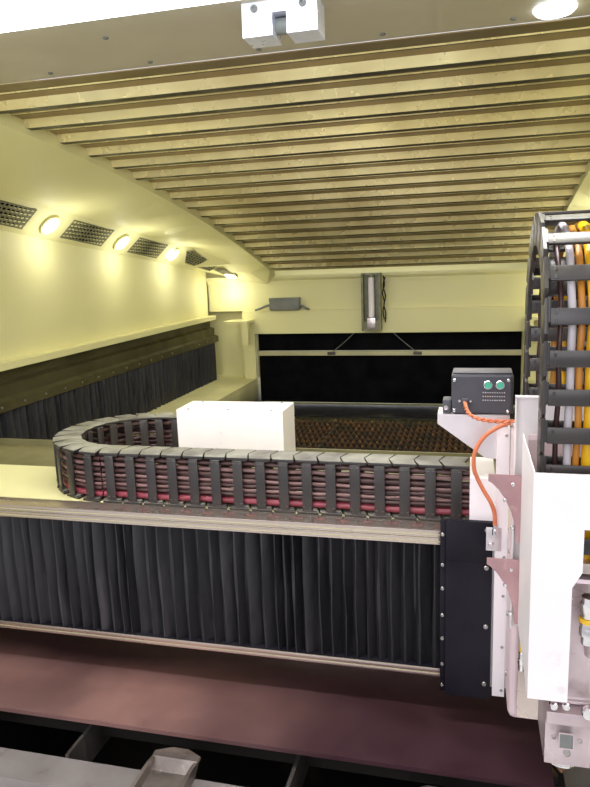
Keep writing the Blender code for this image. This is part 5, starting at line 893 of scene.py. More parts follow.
def makeLyingChain():
    low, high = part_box("x_chain_front")
    rearLow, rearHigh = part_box("x_chain_rear")
    height, width = high.y - low.y, high.z - low.z
    z = (low.z + high.z) / 2
    frontY, rearY = (low.y + high.y) / 2, (rearLow.y + rearHigh.y) / 2
    radius = (rearY - frontY) / 2
    pitch = chainSettings["pitch"]
    front = straightFrames((high.x, frontY, z), (-1, 0, 0), (0, -1, 0), upward,
                           round((high.x - low.x) / pitch))
    bend = bendFrames((low.x, (frontY + rearY) / 2, z), -math.pi / 2, -math.pi * 1.5, radius, upward,
                      round(math.pi * radius / pitch), lambda a, b: (a, b, 0))
    rear = straightFrames((low.x, rearY, z), (1, 0, 0), (0, 1, 0), upward,
                          round((rearHigh.x - rearLow.x) / pitch))
    runs = []
    for run, frames, seed in (("front", front, 21), ("loop", bend, 22), ("rear", rear, 23)):
        runs.append([chainPiece("lyingChain" + run.capitalize(), frames, height, width, "x_chain_" + run)])
        runs[-1] += cableRun(run + "Cables", frames, lyingCables, "orange_sleeve", seed)
    frontPieces, loopPieces, rearPieces = runs
    for piece in frontPieces + loopPieces:
        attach(piece, "chain_loop")
    for piece in frontPieces:
        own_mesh(piece)
    for piece in rearPieces:
        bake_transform(piece)


def makeStandingChain():
    low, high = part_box("z_chain")
    pitch, height = chainSettings["pitch"], chainSettings["standingHeight"]
    x = (low.x + high.x) / 2
    frontY, backY = low.y + height / 2, high.y - height / 2
    radius = (backY - frontY) / 2
    top = high.z - height / 2 - radius
    behind = chainSettings["standingBack"]
    across = (1, 0, 0)
    whole = straightFrames((x, backY, top - behind * pitch), (0, 0, 1), (0, 1, 0), across, behind)
    whole += bendFrames((x, (frontY + backY) / 2, top), 0, math.pi, radius, across,
                        round(math.pi * radius / pitch), lambda a, b: (0, a, b))
    whole += straightFrames((x, frontY, top), (0, 0, -1), (0, -1, 0), across, round((top - low.z) / pitch))
    pieces = [chainPiece("standingChain", whole, height, high.x - low.x, "z_chain")]
    pieces += cableRun("standing", whole, standingHoses, "yellow_sleeve", 31, 0.0012)
    for piece in pieces:
        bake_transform(piece)


makeLyingChain()
makeStandingChain()
report("energy chains linked")


# Pallet: toothed slats in their holders

slatSettings = {
    "pitch": 0.1, "first": -1.6, "count": 31, "thick": 0.003,
    "tooth": 0.026,         # height of a tooth
    "toothPitch": 0.034,
    "tip": ((0.42, 0.0015), (0.5, 0), (0.58, 0.002)),    # share of the pitch, drop
    "worn": 0.006,          # how much a tip may have burnt away
    "rootSpread": 0.001, "leanSpread": 0.004,
    "flap": 0.004,
    "depth": 0.09,          # from the sheet down to the slat's lower edge
    "holders": (-0.75, -0.25, 0.25, 0.75), "holderThick": 0.008,
    "holderTop": 0.858, "notch": ((-0.012, 0), (-0.004, 0.007), (0.004, 0.007), (0.012, 0)),
}


def makeSlats():
    draw = random.Random(7)
    low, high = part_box("slats")
    s = slatSettings
    left, right = low.x + s["flap"], high.x - s["flap"]
    teeth = round((right - left) / s["toothPitch"])
    pitch = (right - left) / teeth
    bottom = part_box("metal_sheet")[0].z - s["depth"]
    places = [s["first"] + index * s["pitch"] for index in range(s["count"])]
    bm = bmesh.new()
    for y in places:
        outline = [(left, bottom)]
        for tooth in range(teeth):
            x = left + tooth * pitch
            tip = high.z - s["worn"] * draw.random() ** 2
            root = high.z - s["tooth"] + draw.uniform(-s["rootSpread"], s["rootSpread"])
            outline += [(x, root)] + [(x + pitch * share, tip - drop) for share, drop in s["tip"]]
        outline += [(right, high.z - s["tooth"]), (right, bottom)]
        upright = Matrix(((1, 0, 0, 0), (0, 0, -1, y), (0, 1, 0, 0), (0, 0, 0, 1)))
        lean = Matrix.Rotation(draw.uniform(-s["leanSpread"], s["leanSpread"]), 4, "Z")
        middle = Matrix.Translation((0, y, 0))
        addPlate(bm, outline, s["thick"], middle @ lean @ middle.inverted() @ upright)
    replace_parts(pieceFrom(bm, "toothedSlats", "rusty_steel", "pallet"), "slats")
    top = s["holderTop"]
    notches = [(y + shift, top - drop) for y in places for shift, drop in s["notch"]]
    outline = [(low.y, low.z), (low.y, top), *notches, (high.y, top), (high.y, low.z)]
    turns = [Matrix(((0, 0, 1, x), (1, 0, 0, 0), (0, 1, 0, 0), (0, 0, 0, 1))) for x in s["holders"]]
    holders = [(addPlate, outline, s["holderThick"], turn) for turn in turns]
    smallPiece("slatHolders", "dark_steel", "pallet", *holders)


makeSlats()
report("slats cut")


# Cabin: ribbed roof, outlets and lamps on the ducts, header, steel faces of the gantry

# Roof: one period of the profile as (share of the pitch, drop, which of its materials); the materials after
# the sheet's own are a painted shade, a painted highlight and a milder painted shade
roofSettings = {
    "radius": 14.65, "centreY": -2.121, "centreZ": -12.22, "front": -1.1995, "rear": 1.92, "flatTo": -1.2,
    "sides": (-0.7695, 1.0395), "pitch": 0.178, "thick": 0.003, "seat": 0.005,
    "profile": [(0.0, 0, 3), (0.29, 0, 2), (0.31, 0.003, 1), (0.34, 0.003, 0), (0.36, 0, 0), (0.63, 0, 2),
                (0.72, 0.022, 1), (0.86, 0.022, 1), (0.94, 0, 3)],
    "materials": ("rib_painted_shade", "rib_painted_highlight", "rib_painted_dim_shade"),
}


def roofHeight(y):
    s = roofSettings
    return s["centreZ"] + math.sqrt(s["radius"] ** 2 - (max(y, s["flatTo"]) - s["centreY"]) ** 2)


def makeRoof():
    s = roofSettings
    line = []
    start = s["front"]
    while start < s["rear"]:
        for share, drop, part in s["profile"]:
            y = start + share * s["pitch"]
            if y < s["rear"]:
                line.append((y, roofHeight(y) - s["seat"] - drop, part))
        start += s["pitch"]
    line.append((s["rear"], roofHeight(s["rear"]) - s["seat"], 0))
    bm = bmesh.new()
    under, over = ([[bm.verts.new((x, y, z + lift)) for y, z, _ in line] for x in s["sides"]]
                   for lift in (0, s["thick"]))
    for index, (_, _, part) in enumerate(line[:-1]):
        corners = (under[0][index], under[0][index + 1], under[1][index + 1], under[1][index])
        bm.faces.new(corners).material_index = part
    joinRows(bm, over[0], over[1])
    for side in (0, 1):
        joinRows(bm, under[side], over[side])
    for end in (0, -1):
        bm.faces.new((under[0][end], under[1][end], over[1][end], over[0][end]))
    roof = pieceFrom(bm, "ribbedRoof", "galvanised_sheet", "machine_frame", smoothAngle=20)
    for name in s["materials"]:
        roof.data.materials.append(finishes[name])
    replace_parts(roof, "roof_sheet")


ductSettings = {
    "wall": 1.30, "crease": 1.18, "rise": 0.115, "grooveZ": 2.243, "slope": 0.096, "front": -2.05,
    "tailY": 1.4, "rearY": 1.8947, "tailInset": 0.06, "tailDrop": 0.105, "roofEdge": {-1: 0.77, 1: 1.04},
    "outlets": (-0.437, 0.213, 0.863, 1.513), "outlet": (0.36, 13, 5),      # length, columns, rows
    "tailOutlet": (1.78, 0.0012), "tailOutletSize": (0.15, 6, 4),           # place and lift
    "slotPitch": 0.021, "slotWidth": 0.013, "bar": 0.009, "barShare": 0.9, "overhang": 0.012,
    "screen": 0.0015, "screenEdge": 0.0003, "screenLifts": (0.0002, 0.0001),
    "slotShadow": (0.99, 0.96, 0.0008, 0.0006),         # shares of the slot's length and width, depth, sink
    "lamps": (-0.112, 0.538, 1.188, 1.838), "lampSeats": (0.008, 0.008, 0.008, 0.004),
    "lens": [(0.043, 0), (0.043, 0.003), (0.037, 0.009), (0.022, 0.013), (0, 0.0145)],
    "rim": [(0.043, 0), (0.052, 0), (0.052, 0.004), (0.049, 0.006), (0.0445, 0.006), (0.0435, 0.002),
            (0.043, 0)],
    "glow": {"power": 1.55, "radius": 0.06, "reach": 0.13, "tone": (1.0, 0.98, 0.88)},
}


# The duct's crease and the groove below it, at a place along the duct
def facetEdges(side, y):
    s = ductSettings
    tail = max(0, (y - s["tailY"]) / (s["rearY"] - s["tailY"]))
    groove = s["grooveZ"] - s["slope"] * (y - s["front"])
    near = Vector((s["crease"], groove + s["rise"]))
    far = Vector((s["roofEdge"][side] + s["tailInset"], roofHeight(y) - s["tailDrop"]))
    crease = near.lerp(far, tail)
    return Vector((side * crease.x, y, crease.y)), Vector((side * s["wall"], y, groove))


# Frame on the duct's lower facet, lifted off it: x along the duct, y down the facet, z out of it
def facetMatrix(side, y, lift=0.0):
    crease, groove = facetEdges(side, y)
    middle = crease.lerp(groove, 0.5)
    nextCrease, nextGroove = facetEdges(side, y + 0.05)
    ahead = (nextCrease.lerp(nextGroove, 0.5) - middle).normalized()
    out = ahead.cross((groove - crease).normalized()).normalized()
    if out.z > 0:
        out = -out
    turn = Matrix((ahead, out.cross(ahead), out)).transposed().to_4x4()
    return Matrix.Translation(middle) @ turn @ Matrix.Translation((0, 0, lift))


def addOutlet(screen, shadow, matrix, length, columns, rows):
    s = ductSettings
    pitch, edge, thick = s["slotPitch"], s["screenEdge"], s["screen"]
    rowLift, barLift = (thick / 2 + lift for lift in s["screenLifts"])
    for row in range(rows + 1):
        block = roundedBlock((length + s["overhang"], pitch - s["slotWidth"], thick), edge, 1)
        addShape(screen, block, matrix @ Matrix.Translation((0, (row - rows / 2) * pitch, rowLift)))
    for column in range(columns + 1):
        block = roundedBlock((s["bar"], rows * pitch, thick * s["barShare"]), edge, 1)
        x = length * (column / columns - 0.5)
        addShape(screen, block, matrix @ Matrix.Translation((x, 0, barLift)))
    lengthShare, widthShare, deep, sink = s["slotShadow"]
    for row in range(rows):
        block = roundedBlock((length * lengthShare, s["slotWidth"] * widthShare, deep), 0)
        y = (row - (rows - 1) / 2) * pitch
        addShape(shadow, block, matrix @ Matrix.Translation((0, y, -sink)))


def makeOutlets():
    s = ductSettings
    screen, shadow, lens, rim = (bmesh.new() for _ in range(4))
    tailY, tailLift = s["tailOutlet"]
    for side in (-1, 1):
        for y in s["outlets"]:
            addOutlet(screen, shadow, facetMatrix(side, y), *s["outlet"])
        addOutlet(screen, shadow, facetMatrix(side, tailY, tailLift), *s["tailOutletSize"])
        for y, seat in zip(s["lamps"], s["lampSeats"]):
            addShape(lens, turnedShape(s["lens"], 32), facetMatrix(side, y, seat))
            addShape(rim, turnedShape(s["rim"], 32), facetMatrix(side, y, seat))
    pieceFrom(screen, "outletScreens", "dark_steel", "machine_frame", finishes["screen_metal"])
    pieceFrom(shadow, "outletShadows", "dark_steel", "machine_frame", finishes["deep_black"])
    pieceFrom(lens, "lampLenses", "lamp_cover", "machine_frame")
    pieceFrom(rim, "lampRims", "cream_paint", "machine_frame")


# Here and below, screws are places on a face, the face, radius, height and direction;
# blocks are two corners and an edge; turned shapes are a profile, sides, a place and a direction
headerSettings = {
    "screws": (((-0.445, -1.244), (-0.171, -1.238), (0.108, -1.237), (0.40, -1.24), (0.68, -1.24),
                (-0.18, -1.436)), 2.3997, 0.0065, 0.003, downward),
    "blockScrews": (((0.1855, 2.3875), (0.2822, 2.3872)), -1.5202, 0.007, 0.004),
    "roller": (((0.203, -1.485, 2.362), (0.267, -1.485, 2.362)), 0.016, 20),
    "lamp": (ductSettings["lens"], 32, (0.76, -1.274, 2.3997), downward),
}


def makeHeader():
    s = headerSettings
    smallPiece("headerScrews", "dark_steel", "machine_frame", (addScrews, *s["screws"]),
               (addScrews, *s["blockScrews"]), (addTube, *s["roller"]), finish="grey_plastic")
    smallPiece("headerLamp", "lamp_cover", "machine_frame", (addTurned, *s["lamp"]))


gantrySettings = {
    "left": -0.925, "right": 0.925, "front": -1.49, "plate": 0.0012, "lap": 0.0001, "edge": 0.0004,
    "lip": (1.297, (1.3035, 1.3125, 1.3195), 1.3284),       # lower edge, grooves, upper edge
    "track": (0.985, (0.9925,), 1.004), "groove": 0.0018,
    "top": ((-0.925, -1.4908, 1.3273), (0.925, -1.437, 1.3284), 0.0004),
    "trackSeat": ((-0.925, -1.49, 1.00405), (0.925, -1.455, 1.00425), 0),
}


# Strips between the grooves, so that the grooves stay open
def makeGantryFaces():
    s = gantrySettings
    half = s["groove"] / 2
    strips = []
    for low, grooves, high in (s["lip"], s["track"]):
        edges = [low, *(groove + shift for groove in grooves for shift in (-half, half)), high]
        strips += [(addBlock, (s["left"], s["front"] - s["plate"], below),
                    (s["right"], s["front"] - s["lap"], above), s["edge"])
                   for below, above in zip(edges[::2], edges[1::2])]
    strips.append((addBlock, *s["top"]))
    smallPiece("gantrySteelFaces", "bare_steel", "gantry", *strips, finish="ground_steel")
    smallPiece("trackSeat", "black_paint", "gantry", (addBlock, *s["trackSeat"]))


makeRoof()
makeOutlets()
makeHeader()
makeGantryFaces()
report("cabin dressed")


# Rear doorway: curtain, rope and the rope's clamps; the cylinder and junction box come with the small parts
# below

rearSettings = {
    "cloth": {"left": -0.933, "right": 0.933, "front": 1.9504, "deep": 0.0028, "thick": 0.0008,
              "columns": 120, "rows": 14, "waves": 6, "pace": (14, 60), "size": (0.3, 1), "lean": 0.7,
              "calm": 0.6},
    "lower": (0.887, 1.2715), "upper": (1.2725, 1.4295), "clothKeep": 0.222,
    "rope": {"y": 1.9316, "radius": 0.0028, "top": (-0.142, 0.002), "topZ": 1.466, "low": (-0.378, 0.238),
             "lowZ": 1.257, "sag": 0.008, "steps": 12, "arcRise": 0.002, "arcSteps": 16, "keep": 0.447},
    "clamp": {"half": 0.03, "low": (1.9285, 1.243), "high": (1.9346, 1.265), "edge": 0.0012,
              "bolts": (-0.02, 0.02), "boltPlace": (1.9348, 1.252), "boltSize": (0.006, 0.005),
              "pin": [(0, 0), (0.006, 0), (0.006, 0.014), (0, 0.014)], "pinPlace": (1.9346, 1.262)},
}


def clothPiece(name, low, high, seed, rides):
    draw = random.Random(seed)
    s = rearSettings["cloth"]
    waves = [(draw.uniform(*s["pace"]), draw.uniform(0, math.tau), draw.uniform(*s["size"]))
             for _ in range(s["waves"])]
    bm = bmesh.new()
    sides = []
    for back in (0, s["thick"]):
        rows = []
        for row in range(s["rows"] + 1):
            share = row / s["rows"]
            z = low + (high - low) * share
            line = []
            for column in range(s["columns"] + 1):
                x = s["left"] + (s["right"] - s["left"]) * column / s["columns"]
                wave = sum(size * math.sin(pace * x + phase + share * s["lean"])
                           for pace, phase, size in waves) / s["waves"]
                y = s["front"] + s["deep"] * (0.5 + 0.5 * wave * (1 - s["calm"] * share)) + back
                line.append(bm.verts.new((x, y, z)))
            rows.append(line)
        for below, above in zip(rows, rows[1:]):
            joinRows(bm, below, above)
        sides.append(rows)
    front, rear = sides
    for end in (0, -1):
        joinRows(bm, front[end], rear[end])
        joinRows(bm, [row[end] for row in front], [row[end] for row in rear])
    return pieceFrom(bm, name, "black_cloth", rides, finishes["deep_black"], 60)


def makeCurtains():
    s = rearSettings
    low, high = s["lower"]
    curtain = clothPiece("curtainFolds", low, high, 41, "lift_curtain")
    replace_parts(curtain, "curtain_cloth")
    low, high = s["upper"]
    upper = clothPiece("upperCurtainFolds", low, high, 42, "machine_frame")
    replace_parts(upper, "curtain_upper_cloth")
    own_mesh(upper)


def makeRope():
    s = rearSettings["rope"]
    routes = []
    for top, low in zip(s["top"], s["low"]):
        shares = [step / s["steps"] for step in range(s["steps"] + 1)]
        routes.append([(top + (low - top) * share, s["y"],
                        s["topZ"] + (s["lowZ"] - s["topZ"]) * share - s["sag"] * math.sin(math.pi * share))
                       for share in shares])
    first, last = s["top"]
    turns = [math.pi * step / s["arcSteps"] for step in range(s["arcSteps"] + 1)]
    routes.append([((first + last) / 2 + (last - first) / 2 * math.cos(turn), s["y"],
                    s["topZ"] + s["arcRise"] * math.sin(turn)) for turn in turns])
    bm = bmesh.new()
    for route in routes:
        addTube(bm, route, s["radius"], 10)
    rope = pieceFrom(bm, "liftRopeLines", "black_cloth", "machine_frame", finishes["grey_plastic"], 60)
    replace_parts(rope, "lift_rope")
    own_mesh(rope)


def makeClamps():
    s = rearSettings["clamp"]
    bm = bmesh.new()
    for x in rearSettings["rope"]["low"]:
        for shift in s["bolts"]:
            addBolt(bm, (x + shift, *s["boltPlace"]), frontward, *s["boltSize"])
        addBlock(bm, (x - s["half"], *s["low"]), (x + s["half"], *s["high"]), s["edge"])
        addTurned(bm, s["pin"], 16, (x, *s["pinPlace"]), frontward)
    pieceFrom(bm, "ropeClamps", "dark_steel", "lift_curtain")


makeCurtains()
makeRope()
makeClamps()
report("rear doorway dressed")


# Carriage: control box, covers, cables and fittings

carriageSettings = {
    "lid": ((0.5655, -1.5095, 1.6722), (0.6805, -1.4485, 1.6746), 0.001),
    "sideBlock": ((0.5460, -1.5090, 1.5905), (0.5625, -1.4700, 1.6180), 0.002),
    "plug": ((0.5835, -1.5215, 1.6110), (0.5965, -1.5117, 1.6235), 0.002),
    "boxFace": -1.5116,
    "boxScrews": (((0.5690, 1.6590), (0.6730, 1.6592), (0.5688, 1.5970), (0.6722, 1.5965)),
                  -1.5116, 0.0032, 0.0018),
    "plugScrews": (((0.5791, 1.6173), (0.6005, 1.6172)), -1.5116, 0.0030, 0.0035),
    "sideScrew": (((0.5525, 1.6025),), -1.5092, 0.0045, 0.002),
    "buttons": ((0.6338, 1.65), (0.6573, 1.65)),
    "buttonRing": [(0.0069, 0), (0.0088, 0), (0.0088, 0.0018), (0.0082, 0.0024), (0.0069, 0.0024),
                   (0.0069, 0)],
    "dots": {"left": 0.6250, "right": 0.6655, "top": 1.6345, "low": 1.6190, "columns": 10, "rows": 3,
             "lit": (2, 1),
             "bead": [(0.0013, 0), (0.0013, 0.0004), (0.00078, 0.0009), (0, 0.001)]},
    "flange": ((0.5425, -1.5190, 0.970), (0.5537, -1.5160, 1.366), 0.0008),
    "upperFold": ((0.5545, -1.5288, 1.2790), (0.6475, -1.5274, 1.3665), 0.0006),
    "coverScrews": (
        ([(0.5475, z) for z in (1.3330, 1.2650, 1.2113, 1.1500, 1.0957, 1.0350, 0.9850)],
         -1.5190, 0.0038, 0.003),
        (((0.6363, 1.269), (0.6369, 1.1372), (0.6357, 1.004)), -1.5274, 0.0048, 0.004),
        (((0.6363, 1.352),), -1.5288, 0.0048, 0.004),
        ([(0.6700, z) for z in (1.5550, 1.4550, 1.3000, 1.2150, 1.1000, 1.0000)], -1.5391, 0.0030, 0.002),
        ([(-1.60, z) for z in (1.5900, 1.4600, 1.3400, 1.2100, 1.0800)], 0.6769, 0.0045, 0.003, (-1, 0, 0))),
    "finScrews": (((0.6618, 1.4759), (0.6750, 1.5050), (0.6750, 1.4250), (0.6651, 1.3142), (0.6750, 1.3450),
                   (0.6750, 1.2600)), -1.6931, 0.0036, 0.0028),
    "plate": ((0.6345, -1.5415, 1.3130), (0.6640, -1.5395, 1.3630), 0.0008),
    "nuts": ((0.6521, -1.5415, 1.3500), (0.6440, -1.5415, 1.3260)), "nutSize": (0.0055, 0.005),
}

# The control box's cable: two strands twisted about this route
twistSettings = {
    "route": [(0.590, -1.5220, 1.6160), (0.592, -1.5420, 1.6100), (0.600, -1.5650, 1.6010),
              (0.620, -1.5830, 1.5960), (0.648, -1.5900, 1.5945), (0.678, -1.5920, 1.5955),
              (0.7015, -1.5900, 1.5975)],
    "steps": 12, "strand": 0.0022, "turn": 0.62,        # radius of a strand, radians per step
}

# The hose that hangs from the box's bracket into the small plate on the white strip
hoseSettings = {
    "route": [(0.684, -1.5475, 1.5840), (0.668, -1.5500, 1.5805), (0.6518, -1.5520, 1.5732),
              (0.6311, -1.5530, 1.5584), (0.6161, -1.5535, 1.5374), (0.6086, -1.5540, 1.5144),
              (0.6089, -1.5540, 1.4894), (0.6150, -1.5535, 1.4708), (0.6271, -1.5530, 1.4460),
              (0.6411, -1.5520, 1.4214), (0.6492, -1.5510, 1.3984), (0.6515, -1.5500, 1.3640)],
    "radius": 0.0042, "ferruleReach": 0.012,
    "ferrule": [(0, 0), (0.0062, 0), (0.0062, 0.010), (0.0052, 0.012), (0.0052, 0.02), (0, 0.02)],
}


def makeControlBox():
    s = carriageSettings
    smallPiece("boxLid", "box_plastic", "carriage", (addBlock, *s["lid"]))
    smallPiece("boxPlugs", "box_plastic", "carriage", (addBlock, *s["sideBlock"]), (addBlock, *s["plug"]))
    rings = [(addTurned, s["buttonRing"], 28, (x, s["boxFace"], z), frontward) for x, z in s["buttons"]]
    screws = [(addScrews, *s[key]) for key in ("boxScrews", "plugScrews", "sideScrew")]
    smallPiece("boxScrews", "chrome", "carriage", *screws, *rings)
    d = s["dots"]
    dots, lit = [], []
    for row in range(d["rows"]):
        for column in range(d["columns"]):
            x = d["left"] + (d["right"] - d["left"]) * column / (d["columns"] - 1)
            z = d["top"] + (d["low"] - d["top"]) * row / (d["rows"] - 1)
            bead = (addTurned, d["bead"], 12, (x, s["boxFace"], z), frontward)
            (lit if (column, row) == d["lit"] else dots).append(bead)
    smallPiece("boxDots", "grey_plastic", "carriage", *dots, finish="white_hose")
    smallPiece("boxLitDot", "yellow_sleeve", "carriage", *lit)


def makeTwistedCable():
    s = twistSettings
    route = smoothRoute(s["route"], s["steps"])
    ends = [route[0], *route, route[-1]]
    bm = bmesh.new()
    for phase in (0, math.pi):
        points = []
        for index, point in enumerate(route):
            aim = (ends[index + 2] - ends[index]).normalized()
            side = aim.cross(Vector(upward)).normalized()
            angle = phase + index * s["turn"]
            reach = side * math.cos(angle) + side.cross(aim) * math.sin(angle)
            points.append(point + reach * s["strand"])
        addTube(bm, points, s["strand"], 8)
    cable = pieceFrom(bm, "twistedBoxCable", "orange_sleeve", "carriage", smoothAngle=60)
    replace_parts(cable, "box_cable")


def makeHose():
    s = hoseSettings
    route = smoothRoute(s["route"], 8)
    bm = bmesh.new()
    addTube(bm, route, s["radius"], 14)
    hose = pieceFrom(bm, "hangingHose", "orange_sleeve", "carriage", smoothAngle=60)
    low, high = route[-1] - Vector((0, 0, s["ferruleReach"])), route[0] + Vector((s["ferruleReach"], 0, 0))
    smallPiece("hoseFerrules", "chrome", "carriage", (addTurned, s["ferrule"], 20, low, upward),
               (addTurned, s["ferrule"], 20, high, (-1, 0, 0)))


def makeCovers():
    s = carriageSettings
    smallPiece("coverFolds", "black_paint", "carriage", (addBlock, *s["flange"]), (addBlock, *s["upperFold"]))
    screws = [(addScrews, *numbers) for numbers in s["coverScrews"]]
    smallPiece("coverScrews", "dark_steel", "carriage", *screws, finish="screw_steel")
    smallPiece("hosePlate", "stainless", "carriage", (addBlock, *s["plate"]),
               *((addBolt, place, frontward, *s["nutSize"]) for place in s["nuts"]))
    smallPiece("finScrews", "chrome", "head", (addScrews, *s["finScrews"]))


makeControlBox()
makeTwistedCable()
makeHose()
makeCovers()
report("carriage dressed")


# Cutting head: connector, knob, sensor block, knurled ring

headSettings = {
    "connector": ([(0, 0), (0.0095, 0), (0.0095, 0.012), (0.0125, 0.014), (0.0125, 0.024), (0.0115, 0.026),
                   (0.0115, 0.048), (0.0128, 0.05), (0.0128, 0.064), (0.0105, 0.067), (0.0105, 0.074),
                   (0, 0.074)],
                  28, (0.7715, -1.9045, 1.335)),
    "connectorBand": ([(0.0120, 0), (0.0134, 0.001), (0.0134, 0.007), (0.0120, 0.008), (0.0120, 0)],
                      28, (0.7715, -1.9045, 1.369)),
    "fitting": ([(0, 0), (0.0068, 0), (0.0068, 0.012), (0.0078, 0.013), (0.0078, 0.021), (0.0062, 0.023),
                 (0.0062, 0.034), (0.0048, 0.036), (0, 0.036)], 24, (0.6978, -1.6981, 1.152)),
    "knob": ([(0, 0), (0.006, 0), (0.006, 0.004), (0.0095, 0.006), (0.0095, 0.014), (0.008, 0.016),
              (0, 0.0165)],
             24, (0.7785, -1.8882, 1.2160), frontward),
    "plug": ([(0, 0), (0.0065, 0), (0.0065, 0.007), (0.005, 0.009), (0, 0.009)], 20),
    "plugs": ((0.7300, -1.8882, 1.2180), (0.7480, -1.8882, 1.2200)),
    "band": ((0.7205, -1.8895, 1.1835), (0.7935, -1.7645, 1.2045), 0.0015),
    "ridges": (((0.7195, -1.8897, 1.2228), (0.7965, -1.8882, 1.2272), 0.0006),
               ((0.7195, -1.8897, 1.2308), (0.7965, -1.8882, 1.2352), 0.0006)),
    "window": ((0.7416, -1.8876, 1.1436), (0.7605, -1.8871, 1.1676)),
    "windowRim": {"width": 0.0022, "rise": 0.0012, "lap": 0.0002}, "windowEdge": (0.0003, 1),
    "screws": (((0.7330, 1.1600), (0.7712, 1.1580)), -1.8871, 0.0038, 0.0016),
    "button": ([(0, 0), (0.006, 0), (0.006, 0.001), (0.0045, 0.0016), (0.0042, 0.0009), (0, 0.0007)],
               24, (0.7524, -1.8871, 1.1345), frontward),
    "ring": {"place": (0.755, -1.82, 1.0738), "height": 0.0298, "radius": 0.0289, "root": 0.0276, "teeth": 60,
             "lip": 0.005, "rim": 0.002},
}


def makeHead():
    s = headSettings
    plugs = [(addTurned, *s["plug"], place, frontward) for place in s["plugs"]]
    smallPiece("headFittings", "chrome", "head", (addTurned, *s["connector"]), (addTurned, *s["fitting"]),
               (addTurned, *s["knob"]), *plugs)
    smallPiece("connectorBand", "yellow_sleeve", "head", (addTurned, *s["connectorBand"]))
    low, high = s["window"]
    rim = s["windowRim"]
    left, below = low[0] - rim["width"], low[2] - rim["width"]
    right, above = high[0] + rim["width"], high[2] + rim["width"]
    front, back = low[1] - rim["rise"], high[1] + rim["lap"]
    bars = [(addBlock, (x, front, z), (toX, back, toZ), *s["windowEdge"]) for x, z, toX, toZ in (
        (left, below, right, low[2]), (left, high[2], right, above),
        (left, low[2], low[0], high[2]), (high[0], low[2], right, high[2]))]
    smallPiece("headPlates", "head_metal", "head", (addBlock, *s["band"]),
               *((addBlock, *ridge) for ridge in s["ridges"]), *bars)
    smallPiece("sensorWindow", "grey_plastic", "head", (addBlock, low, high, *s["windowEdge"]))
    smallPiece("sensorScrews", "dark_steel", "head", (addScrews, *s["screws"]), (addTurned, *s["button"]),
               finish="screw_steel")


def makeKnurledRing():
    s = headSettings["ring"]
    root, height, rim = s["root"], s["height"], s["rim"]
    outline = []
    for index in range(s["teeth"]):
        for share, radius in ((0.0, root), (0.3, s["radius"]), (0.7, s["radius"])):
            angle = math.tau * (index + share) / s["teeth"]
            outline.append((radius * math.cos(angle), radius * math.sin(angle)))
    place = Vector(s["place"])
    bm = bmesh.new()
    addPlate(bm, outline, height - 2 * s["lip"], Matrix.Translation(place + Vector((0, 0, height / 2))))
    core = [(0, 0), (root - rim, 0), (root, rim), (root, height - rim), (root - rim, height), (0, height)]
    addTurned(bm, core, 48, place)
    ring = pieceFrom(bm, "knurledRing", "chrome", "head", smoothAngle=25)
    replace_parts(ring, "nozzle_ring")


makeHead()
makeKnurledRing()
report("head dressed")


# Small parts on the frame and the chain box

smallSettings = {
    "cylinderTube": ([(0, 0), (0.0212, 0), (0.0212, 0.27), (0, 0.27)], 28, (-0.07, 1.846, 1.520)),
    "cylinderBlock": ((-0.098, 1.8190, 1.440), (-0.042, 1.8240, 1.515), 0.0015),
    "cylinderScrews": (((-0.086, 1.50), (-0.054, 1.50), (-0.086, 1.455), (-0.054, 1.455), (-0.07, 1.478)),
                       1.8190, 0.005, 0.003),
    "lid": ((-0.8165, 1.8680, 1.6440), (-0.5915, 1.9295, 1.6620), 0.0015),
    "cables": (((-0.8135, 1.900, 1.612), (-0.845, 1.897, 1.606), (-0.885, 1.893, 1.590),
                (-0.93, 1.890, 1.5775)),
               ((-0.5945, 1.900, 1.606), (-0.570, 1.897, 1.600), (-0.550, 1.893, 1.586),
                (-0.525, 1.890, 1.5770))),
    "cable": (0.008, 12),           # radius and sides
    "airHoses": (((0.012, 1.862, 1.800), (0.020, 1.858, 1.740), (0.006, 1.856, 1.680), (0.018, 1.858, 1.620),
                  (0.008, 1.862, 1.560), (0.014, 1.870, 1.500)),
                 ((0.024, 1.866, 1.790), (0.010, 1.862, 1.730), (0.026, 1.860, 1.660), (0.014, 1.862, 1.600),
                  (0.026, 1.866, 1.540), (0.020, 1.874, 1.480))),
    "airHose": (0.004, 10),
    "chainBoxScrews": (((-0.205, -1.070), (-0.080, -1.070), (0.050, -1.070), (-0.205, -0.955),
                        (0.050, -0.955)),
                       1.4901, 0.0042, 0.0025, upward),
    "railScrews": [(-1.93 + index * 0.15, 1.3715) for index in range(26)],
    "railFace": 1.2299, "railScrewSize": (0.005, 0.003),
}


def makeSmallParts():
    s = smallSettings
    smallPiece("cylinderTube", "white_paint", "machine_frame", (addTurned, *s["cylinderTube"]))
    smallPiece("cylinderBlock", "stainless", "machine_frame", (addBlock, *s["cylinderBlock"]),
               (addScrews, *s["cylinderScrews"]))
    cables = [(addTube, smoothRoute(route, 6), *s["cable"]) for route in s["cables"]]
    smallPiece("junctionLid", "grey_plastic", "machine_frame", (addBlock, *s["lid"]), *cables)
    hoses = [(addTube, smoothRoute(route, 6), *s["airHose"]) for route in s["airHoses"]]
    smallPiece("airHoses", "black_paint", "machine_frame", *hoses)
    rails = [(addScrews, s["railScrews"], side * s["railFace"], *s["railScrewSize"], (-side, 0, 0))
             for side in (-1, 1)]
    smallPiece("railCoverScrews", "dark_steel", "machine_frame", *rails, finish="screw_steel")
    smallPiece("chainBoxScrews", "dark_steel", "gantry", (addScrews, *s["chainBoxScrews"]),
               finish="screw_steel")


makeSmallParts()
report("small parts added")


# Stage: pale floor and soft studio light

